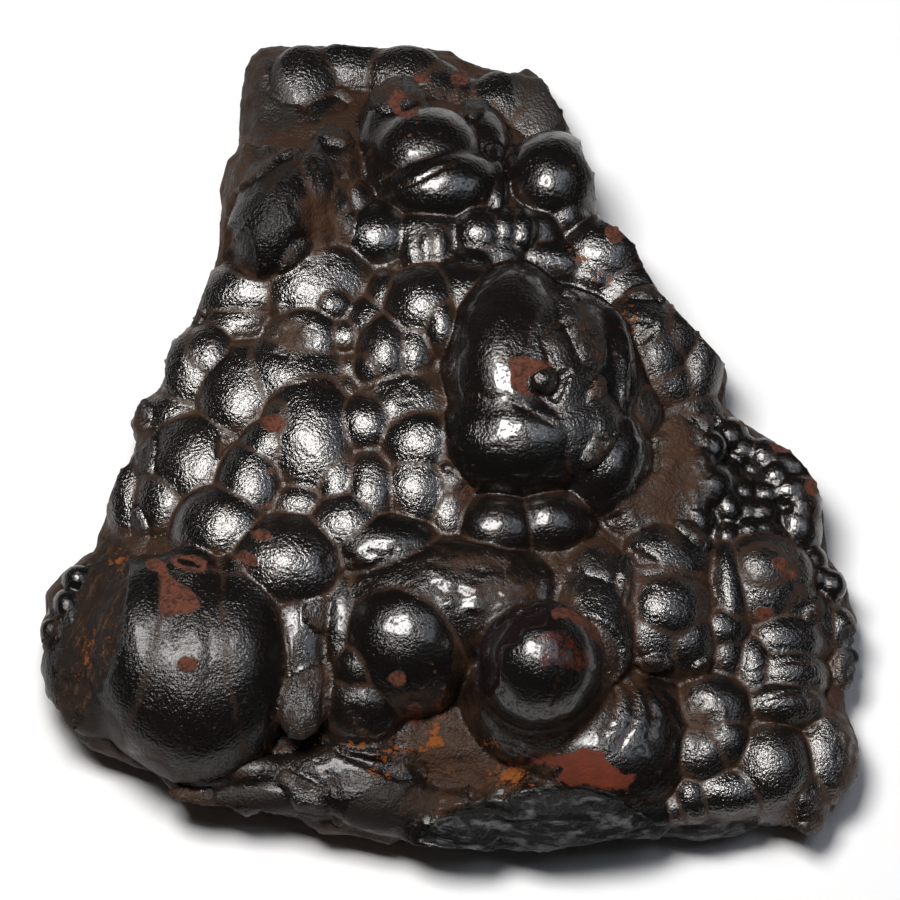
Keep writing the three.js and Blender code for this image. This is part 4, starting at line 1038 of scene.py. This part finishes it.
class Shader(Nodes):
    """A material's tree with the few kinds of node that the ore and the table use."""

    def __init__(self, name):
        self.material = bpy.data.materials.new(name)
        self.material.use_nodes = True
        super().__init__(self.material.node_tree)
        self.tree.nodes.clear()
        place = self.add("ShaderNodeTexCoord")
        self.place = place.outputs["Object"]

    def attribute(self, name):
        made = self.add("ShaderNodeAttribute", {"attribute_name": name})
        return Term(self, made.outputs["Fac"])

    def stretched(self, turn, scale):
        """Places for a pattern that is drawn out, along an axis turned from across."""
        made = self.add("ShaderNodeMapping", {"vector_type": "TEXTURE"}, {
            "Vector": self.place,
            "Rotation": (0, 0, turn),
            "Scale": scale,
        })
        return made.outputs[0]

    def noise(self, size, detail, roughness, place=None):
        """Smooth noise with features of about size mm."""
        made = self.add("ShaderNodeTexNoise", inputs={
            "Vector": place or self.place,
            "Scale": 1 / (size * MM),
            "Detail": detail,
            "Roughness": roughness,
        })
        return Term(self, made.outputs[0])

    def cells(self, size):
        """Distance from the middles of cells of about size mm."""
        made = self.add("ShaderNodeTexVoronoi", inputs={
            "Vector": self.place,
            "Scale": 1 / (size * MM),
        })
        return Term(self, made.outputs["Distance"])

    def colour(self, factor, low, high):
        """A colour between two: the first where the factor is 0, the second where it is 1."""
        made = self.add("ShaderNodeMix", {"data_type": "RGBA"}, {0: factor, 6: low, 7: high})
        return made.outputs[2]

    def relief(self, height):
        """A normal from a height in mm."""
        inputs = {"Height": height * MM, "Distance": 1.0}
        return self.add("ShaderNodeBump", inputs=inputs).outputs[0]

    def surface(self, **values):
        inputs = {name.replace("_", " "): value for name, value in values.items()}
        return self.add("ShaderNodeBsdfPrincipled", inputs=inputs).outputs[0]

    def mixed(self, factor, one, other):
        """Two surfaces, of which the factor shows the second."""
        return self.add("ShaderNodeMixShader", inputs={0: factor, 1: one, 2: other}).outputs[0]

    def finish(self, surface):
        self.add("ShaderNodeOutputMaterial", inputs={"Surface": surface})
        return self.material


def srgb(red, green, blue):
    """A colour given in the 0 to 255 of a colour picker, by that scale's own curve."""
    shares = [value / 255 for value in (red, green, blue)]
    linear = [v / 12.92 if v <= 0.04045 else ((v + 0.055) / 1.055) ** 2.4 for v in shares]
    return (*linear, 1.0)


# What clean skin mirrors where its share is 0 and 1.
MIRROR_NONE = (0.0, 0.0, 0.0, 1.0)
MIRROR_ALL = (1.0, 0.97, 0.94, 1.0)

# Patterns in the ore: the size of their features in mm, their detail and their roughness.
BROAD = (14, 3, 0.55)
BLOTCH = (5, 4, 0.6)
MOTTLE = (1.6, 5, 0.65)
GRAIN = (0.55, 2, 0.5)
SPECK = (0.25, 2, 0.6)
LAYERS = (1.3, 4, 0.6)
STRANDS = (1.1, 4, 0.7)
FLECK_SPACING = 2.4
# How far layers and strands are drawn out along their axes, and how far each is turned.
LAYER_STRETCH = (5, 2, 1)
LAYER_TURN = 0
STRAND_STRETCH = (6, 1, 1)
STRAND_TURN = math.radians(66)

# The depth in mm from which a crack shows fully.
FULL_CRACK = 0.2
# The depth in mm inside an earthy hollow or a yellow patch that counts as a share of 1.
UMBER_EDGE = 5
OCHRE_EDGE = 2

# How much warmer the black is on some lumps.
TINT_WARMTH = 0.4
# Roughness of dull skin, what full gloss takes off it, and its unevenness.
DULL_ROUGHNESS = 0.33
GLOSS_POLISH = 0.22
ROUGHNESS_SWING = 0.12
LEAST_ROUGHNESS = 0.08
MOST_ROUGHNESS = 0.95

# The glassy coat on clean glossy skin.
COAT_ROUGHNESS = 0.11
COAT_IOR = 1.85
# The earthy surface that takes the skin's colour, and how much of it there is everywhere.
EARTHY_ROUGHNESS = 0.8
EARTHY_IOR = 1.4
LEAST_EARTHY = 0.3
# How earthy these finishes, by their names in OreSkin, make the skin at the most.
EARTHY_FINISHES = {"umber": 0.85, "dusty": 0.75, "line": 0.85, "flecks": 0.8, "grey": 0.65}

# Heights in mm of the fine relief: grains on dull skin and what gloss takes off them, specks, the
# mottle everywhere, in earthy hollows, in strands and in the break, and the thickness of red skin.
DULL_GRAIN = 0.36
GRAIN_POLISH = 0.24
SPECK_HEIGHT = 0.05
MOTTLE_HEIGHT = 0.08
CLOD_HEIGHT = 0.45
STRAND_HEIGHT = 0.5
BREAK_HEIGHT = 0.6
EARTH_HEIGHT = 0.04


class OreSkin:
    """The skin of the ore: the patterns that its finishes share, then one finish over another."""

    def __init__(self, colours):
        ore = Shader("Kidney ore")
        self.ore = ore
        self.colours = colours
        self.broad = ore.noise(*BROAD)
        self.blotch = ore.noise(*BLOTCH)
        self.mottle = ore.noise(*MOTTLE)
        self.grain = ore.noise(*GRAIN)
        self.speck = ore.noise(*SPECK)
        self.seam = ore.attribute("seam")
        self.gloss = ore.attribute("gloss")
        self.film = ore.attribute("film")
        self.crack = (ore.attribute("crack") * (1 / FULL_CRACK)).least(1)

    def patch(self, name, ragged, soft=0.25):
        """Where a kind of patch shows: how ragged and how soft its edge is, in mm."""
        edge = self.blotch.swing(ragged) + self.mottle.swing(ragged)
        return (self.ore.attribute(name) + edge).rise(-soft, soft)

    def blend(self, share, low, high):
        """A colour between two of the ore's own."""
        return self.ore.colour(share, getattr(self.colours, low), getattr(self.colours, high))

    def cover(self, share, colour, most=None):
        """Lays a colour over the skin, which hides so much of it at the most, or all."""
        if most is not None:
            share = share * most
        self.colour = self.ore.colour(share, self.colour, colour)

    def roughen(self, share, roughness):
        """Brings the skin's roughness to another."""
        self.rough = self.rough + share * (roughness - self.rough)

    def add_roughness(self, share, most):
        self.rough = self.rough + share * most

    def lay_black_ore(self):
        """Black ore, warmer here and there and on some of the lumps."""
        warmth = self.broad + self.ore.attribute("tint") * TINT_WARMTH
        self.colour = self.blend(warmth.rise(0.5, 1.0), "black", "warm_black")
        self.rough = DULL_ROUGHNESS - self.gloss * GLOSS_POLISH + self.blotch.swing(ROUGHNESS_SWING)

    def lay_film(self):
        """Brown film and dust, thicker in hollows."""
        hollow = self.ore.attribute("hollow").spread(-0.12, 0.5)
        dusty = self.film + self.blotch.swing(1.3) + hollow + self.mottle.swing(0.6)
        self.dusty = dusty.rise(0.4, 1.2)
        self.cover(self.dusty, self.blend(self.mottle, "film", "dust"), most=0.85)
        self.add_roughness(self.dusty, most=0.1)

    def lay_umber(self):
        """Dull brown earthy hollows."""
        depth = self.ore.attribute("umber") / UMBER_EDGE
        self.umber = (depth + self.blotch.swing(1.4) + self.mottle.swing(0.8)).rise(-0.1, 0.9)
        self.cover(self.umber, self.blend(self.mottle, "umber", "film"), most=0.85)
        self.add_roughness(self.umber, most=0.2)

    def lay_seams(self):
        """Broken lines of film in the creases between lumps and in the cracks."""
        valley = 1 - (self.seam + self.mottle.swing(1.4)).rise(0.0, 0.7)
        filmed = self.blotch + self.film * 1.2 + self.mottle.swing(0.8)
        self.line = valley * filmed.rise(0.52, 0.98)
        self.cover(self.line, self.colours.seam_film, most=0.4)
        self.cover(self.crack * self.mottle, self.colours.seam_film)
        self.add_roughness(self.line, most=0.2)

    def lay_flecks(self):
        """Small brown flecks, in groups."""
        apart = self.ore.cells(FLECK_SPACING) + self.grain.swing(0.6)
        self.flecks = (1 - apart.rise(0.06, 0.2)) * self.blotch.rise(0.48, 0.6)
        self.cover(self.flecks, self.colours.fibre, most=0.6)

    def lay_grey_break(self):
        """The fresh broken edge: grey layers with black painted shade between them and in its cracks.
        """
        self.grey = self.patch("grey_break", ragged=2.0)
        layers = self.ore.noise(*LAYERS, place=self.ore.stretched(LAYER_TURN, LAYER_STRETCH))
        # Painted light and shade: a stretched noise picks lit grey layers and shaded black ones.
        lit = layers.rise(0.45, 0.6) * self.blotch.rise(0.4, 0.56)
        layered = self.blend(lit, "painted_break_shade", "break_grey")
        # Painted shade: the cracks in the break are coloured near black.
        self.cover(self.grey, self.ore.colour(self.crack, layered, self.colours.painted_break_shade))
        self.roughen(self.grey, roughness=0.42)

    def lay_chips(self):
        """Smooth brown chips."""
        self.chip = self.patch("chip", ragged=1.5)
        self.cover(self.chip, self.blend(self.blotch, "chip", "umber"), most=0.85)
        self.roughen(self.chip, roughness=0.5)

    def lay_fibres(self):
        """The broken end with its strands."""
        self.strands = self.ore.noise(*STRANDS, place=self.ore.stretched(STRAND_TURN, STRAND_STRETCH))
        self.fibre = self.patch("fibre", ragged=3.0, soft=0.8)
        pale = self.strands.rise(0.5, 0.75)
        self.cover(self.fibre, self.blend(pale, "warm_black", "fibre"), most=0.8)
        self.roughen(self.fibre, roughness=0.65)

    def lay_ochre(self):
        """Yellow specks."""
        depth = self.ore.attribute("ochre") / OCHRE_EDGE
        self.ochre = (depth + self.mottle.swing(5) + self.grain.swing(2)).rise(0.25, 0.9)
        self.cover(self.ochre, self.blend(self.grain, "ochre", "rust"), most=0.9)

    def lay_terracotta(self):
        """Patches of red skin with bare spots in them."""
        patch = self.patch("earth", ragged=1.6, soft=0.2)
        patch = patch * (1 - self.patch("bare", ragged=0.8, soft=0.15))
        self.earth = patch * (self.grain + self.mottle).rise(0.6, 0.85)
        shade = (self.mottle * 0.6 + self.grain * 0.4).rise(0.42, 0.62)
        self.cover(self.earth, self.blend(shade, "earth", "earth_dark"))

    def lay_rust(self):
        """The orange-red hollow. All three earths are equally dull."""
        rust = self.patch("rust", ragged=2.4, soft=0.4)
        self.cover(rust, self.blend(self.blotch, "rust", "earth_dark"))
        self.dull = self.earth.most(rust).most(self.ochre)
        self.roughen(self.dull, roughness=0.55)

    def lay_broken_ball(self):
        """The crust on the broken ball, and the ball's maroon inner skin."""
        broken = self.blend(self.blotch.rise(0.42, 0.58), "earth_dark", "break_grey")
        crust = self.patch("crust", ragged=2.0)
        self.cover(crust, self.ore.colour(self.mottle.rise(0.45, 0.6), broken, self.colours.rust))
        self.cover(self.patch("recess", ragged=0.3, soft=0.1), self.colours.maroon)

    def bare_bed(self):
        """Where the bed between the lumps has no film on it."""
        patchy = (self.blotch + (self.broad + self.mottle) * 0.5).rise(0.8, 1.15)
        return (1 - self.gloss.rise(0.15, 0.5)) * patchy * 0.9

    def fine_relief(self, bare_bed):
        """The skin's finest height: grain and specks, and clods, strands and layers."""
        grains = DULL_GRAIN - self.gloss * GRAIN_POLISH
        clods = MOTTLE_HEIGHT + self.umber.most(bare_bed) * CLOD_HEIGHT
        clods = clods + self.fibre * STRAND_HEIGHT + self.grey * BREAK_HEIGHT
        height = self.grain.swing(grains) + self.speck.swing(SPECK_HEIGHT) + self.mottle.swing(clods)
        return height + self.earth * EARTH_HEIGHT + self.strands * self.fibre * STRAND_HEIGHT

    def shine(self):
        """How much of the glassy coat shows: on clean glossy skin, away from the seams."""
        sound = (1 - self.dusty) * (1 - self.grey.most(self.chip))
        clean = sound * self.seam.rise(0.2, 1.6) * (self.mottle + self.grain).rise(0.8, 1.05)
        return self.gloss.rise(0.5, 1.1) * clean

    def earthiness(self, bare_bed):
        """How much of the skin is earthy and not mirror-like."""
        earthy = self.dull.most(bare_bed).most(self.fibre)
        for finish, most in EARTHY_FINISHES.items():
            earthy = earthy.most(getattr(self, finish) * most)
        return earthy.most(LEAST_EARTHY)

    def finished(self):
        """The material: mirror-like ore, mixed with an earthy surface of the skin's colour."""
        ore = self.ore
        bare_bed = self.bare_bed()
        normal = ore.relief(self.fine_relief(bare_bed))
        glossy = ore.surface(
            Base_Color=ore.colour(ore.attribute("mirror"), MIRROR_NONE, MIRROR_ALL), Metallic=1.0,
            Roughness=self.rough.most(LEAST_ROUGHNESS).least(MOST_ROUGHNESS), Normal=normal,
            Coat_Weight=self.shine(), Coat_Roughness=COAT_ROUGHNESS, Coat_IOR=COAT_IOR)
        earthy = ore.surface(
            Base_Color=self.colour, Roughness=EARTHY_ROUGHNESS, IOR=EARTHY_IOR, Normal=normal)
        return ore.finish(ore.mixed(self.earthiness(bare_bed), glossy, earthy))


def ore_material(colours):
    """Black kidney ore, its brown film and dust, and its patches of earthy and broken ore."""
    skin = OreSkin(colours)
    skin.lay_black_ore()
    skin.lay_film()
    skin.lay_umber()
    skin.lay_seams()
    skin.lay_flecks()
    skin.lay_grey_break()
    skin.lay_chips()
    skin.lay_fibres()
    skin.lay_ochre()
    skin.lay_terracotta()
    skin.lay_rust()
    skin.lay_broken_ball()
    return skin.finished()


TABLE_ROUGHNESS = 0.7


def table_material(colour):
    table = Shader("Pale table")
    return table.finish(table.surface(Base_Color=colour, Roughness=TABLE_ROUGHNESS))


def colour_property(name, description, picked):
    return bpy.props.FloatVectorProperty(
        name=name, description=description, default=srgb(*picked), size=4, subtype="COLOR",
        min=0, max=1)


def keep_in_box(mesh):
    """Holds the skin inside the solid's box, which it reaches almost everywhere."""
    low, high = (np.array(corner) / MM for corner in CAD_BOX)
    set_positions(mesh, np.clip(positions(mesh), low, high))


TABLE_HALF = 900


def lay_table(settings):
    ways = ((-1, -1), (1, -1), (1, 1), (-1, 1))
    corners = [[across * TABLE_HALF, along * TABLE_HALF, 0] for across, along in ways]
    table = mesh_object("table", corners, [[0, 1, 2, 3]])
    table.data.materials.append(table_material(settings.table))


SENSOR = 36.0
# The nearest and the furthest that the camera sees, in metres.
CAMERA_REACH = (0.01, 10)
# What the camera looks at: across and up on the face plane and height, in mm.
FRAME_MIDDLE = (0.0, -0.9, 20.0)


def aim_camera(settings):
    rise, distance = settings.camera_rise, settings.camera_distance
    back = Vector((0, -math.cos(rise), math.sin(rise)))
    middle = Vector(from_face(*FRAME_MIDDLE) - FOOTPRINT_MIDDLE) * MM
    data = bpy.data.cameras.new("camera")
    data.sensor_width = SENSOR
    data.lens = SENSOR * distance / settings.frame_width
    data.clip_start, data.clip_end = CAMERA_REACH
    camera = bpy.data.objects.new("camera", data)
    camera.location = middle + back * distance
    camera.rotation_euler = back.to_track_quat("Z", "Y").to_euler()
    bpy.context.scene.collection.objects.link(camera)
    bpy.context.scene.camera = camera
    return camera


# Lamps: name, the way to it from the specimen as the camera sees it (right, up, nearer), how far
# away it hangs, its two sizes, its power and its colour.
LAMPS = (
    ("key", (-0.2, 0.45, 0.87), 0.7, (0.26, 0.3), 5.4, (255, 253, 251)),
    ("second", (0.42, 0.38, 0.82), 0.8, (0.5, 0.4), 0.9, (232, 240, 255)),
)


def hang_lamp(camera, name, way, distance, sizes, power, colour):
    toward = camera.rotation_euler.to_matrix() @ Vector(way).normalized()
    data = bpy.data.lights.new(name, "AREA")
    data.shape = "RECTANGLE"
    data.size, data.size_y = sizes
    data.energy = power
    data.color = srgb(*colour)[:3]
    lamp = bpy.data.objects.new(name, data)
    lamp.location = toward * distance
    lamp.rotation_euler = toward.to_track_quat("Z", "Y").to_euler()
    bpy.context.scene.collection.objects.link(lamp)


ROOM_COLOUR = (1, 0.93, 0.85, 1)
ROOM_STRENGTH = 0.01


def light_room(scene):
    world = bpy.data.worlds.new("room")
    world.use_nodes = True
    room = world.node_tree.nodes["Background"]
    room.inputs["Color"].default_value = ROOM_COLOUR
    room.inputs["Strength"].default_value = ROOM_STRENGTH
    scene.world = world
    scene.view_settings.view_transform = "Standard"


class OreSettings(bpy.types.PropertyGroup):
    """Sizes and colours of the specimen."""

    voxel: bpy.props.FloatProperty(
        name="Fusing step", description="Width of the steps in which the lumps are fused, in mm",
        default=0.5, min=0.3, max=2.0)
    triangles: bpy.props.IntProperty(
        name="Triangles", description="About how many triangles the specimen's skin keeps",
        default=205000, min=20000)
    black: colour_property("Black", "Clean ore", (9, 6, 4))
    warm_black: colour_property("Warm black", "Ore with a trace of brown", (26, 14, 7))
    film: colour_property("Film", "Thin film on dull lumps", (74, 44, 19))
    dust: colour_property("Dust", "Dust in the film", (46, 27, 11))
    seam_film: colour_property("Seam film", "Film in the creases", (80, 49, 26))
    umber: colour_property("Umber", "Earthy hollows", (50, 30, 14))
    # Painted shade between the lit layers of the broken edge and in its cracks.
    painted_break_shade: colour_property("Dark break", "Shaded layers of the broken edge", (4, 4, 4))
    break_grey: colour_property("Grey break", "Fresh broken edge", (100, 98, 101))
    chip: colour_property("Chip", "Smooth brown chips", (40, 29, 21))
    fibre: colour_property("Fibre", "Strands of the broken end", (92, 64, 36))
    ochre: colour_property("Ochre", "Yellow specks", (140, 88, 18))
    earth: colour_property("Terracotta", "Patches of red skin", (100, 54, 36))
    earth_dark: colour_property("Dark terracotta", "Shade in the red patches", (50, 25, 16))
    maroon: colour_property("Maroon", "The inner skin of the broken ball", (34, 13, 10))
    rust: colour_property("Rust", "The orange-red hollow", (122, 46, 16))


class StageSettings(bpy.types.PropertyGroup):
    """The table, the lamps and the camera."""

    table: colour_property("Table", "The table top", (250, 250, 250))
    camera_rise: bpy.props.FloatProperty(
        name="Camera rise", description="Height of the camera's view above level",
        default=FACE_RISE, subtype="ANGLE", unit="ROTATION")
    camera_distance: bpy.props.FloatProperty(
        name="Camera distance", description="From the camera to the specimen",
        default=3.0, subtype="DISTANCE", unit="LENGTH")
    frame_width: bpy.props.FloatProperty(
        name="Frame width", description="Width of what the camera sees at the specimen",
        default=0.162, subtype="DISTANCE", unit="LENGTH")


class HEMATITE_OT_specimen(bpy.types.Operator):
    """Grow the lumps on their bed, fuse them and finish the ore"""

    bl_idname = "hematite.specimen"
    bl_label = "Specimen"

    def execute(self, context):
        settings = context.scene.hematite_ore
        material = ore_material(settings)
        lumps = Lumps()
        parts = [lumps_object(lumps, material), bed_object(), chunk_object()]
        specimen = fused_object("specimen", parts, settings.voxel)
        points = within_outline(settle(positions(specimen.data), lumps, FUSED_REACH))
        set_positions(specimen.data, points)
        thinned(specimen, settings.triangles)
        points = settle(positions(specimen.data), lumps, THINNED_REACH)
        set_positions(specimen.data, points)
        cut_flat(specimen)
        write_finish(specimen.data, lumps)
        raise_skin(specimen.data)
        keep_in_box(specimen.data)
        specimen.data.materials.clear()
        specimen.data.materials.append(material)
        specimen.data.shade_smooth()
        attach(specimen, "root")
        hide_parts(NODE)
        return {"FINISHED"}


class HEMATITE_OT_stage(bpy.types.Operator):
    """Lay the table and set the lamps and the camera"""

    bl_idname = "hematite.stage"
    bl_label = "Table, lamps and camera"

    def execute(self, context):
        settings = context.scene.hematite_stage
        lay_table(settings)
        camera = aim_camera(settings)
        for lamp in LAMPS:
            hang_lamp(camera, *lamp)
        light_room(context.scene)
        return {"FINISHED"}


class HEMATITE_PT_panel(bpy.types.Panel):
    """The steps and sizes of the specimen in the sidebar"""

    bl_label = "Hematite"
    bl_space_type = "VIEW_3D"
    bl_region_type = "UI"
    bl_category = "Hematite"

    def draw(self, context):
        steps = (("hematite_ore", HEMATITE_OT_specimen), ("hematite_stage", HEMATITE_OT_stage))
        for name, operator in steps:
            settings = getattr(context.scene, name)
            for prop in settings.bl_rna.properties:
                if not prop.is_readonly and prop.identifier != "name":
                    self.layout.prop(settings, prop.identifier)
            self.layout.operator(operator.bl_idname)


CLASSES = (OreSettings, StageSettings, HEMATITE_OT_specimen, HEMATITE_OT_stage, HEMATITE_PT_panel)


def register():
    for cls in CLASSES:
        bpy.utils.register_class(cls)
    bpy.types.Scene.hematite_ore = bpy.props.PointerProperty(type=OreSettings)
    bpy.types.Scene.hematite_stage = bpy.props.PointerProperty(type=StageSettings)


def unregister():
    del bpy.types.Scene.hematite_stage
    del bpy.types.Scene.hematite_ore
    for cls in reversed(CLASSES):
        bpy.utils.unregister_class(cls)


def main():
    register()
    bpy.ops.hematite.specimen()
    bpy.ops.hematite.stage()


if __name__ == "__main__":
    main()
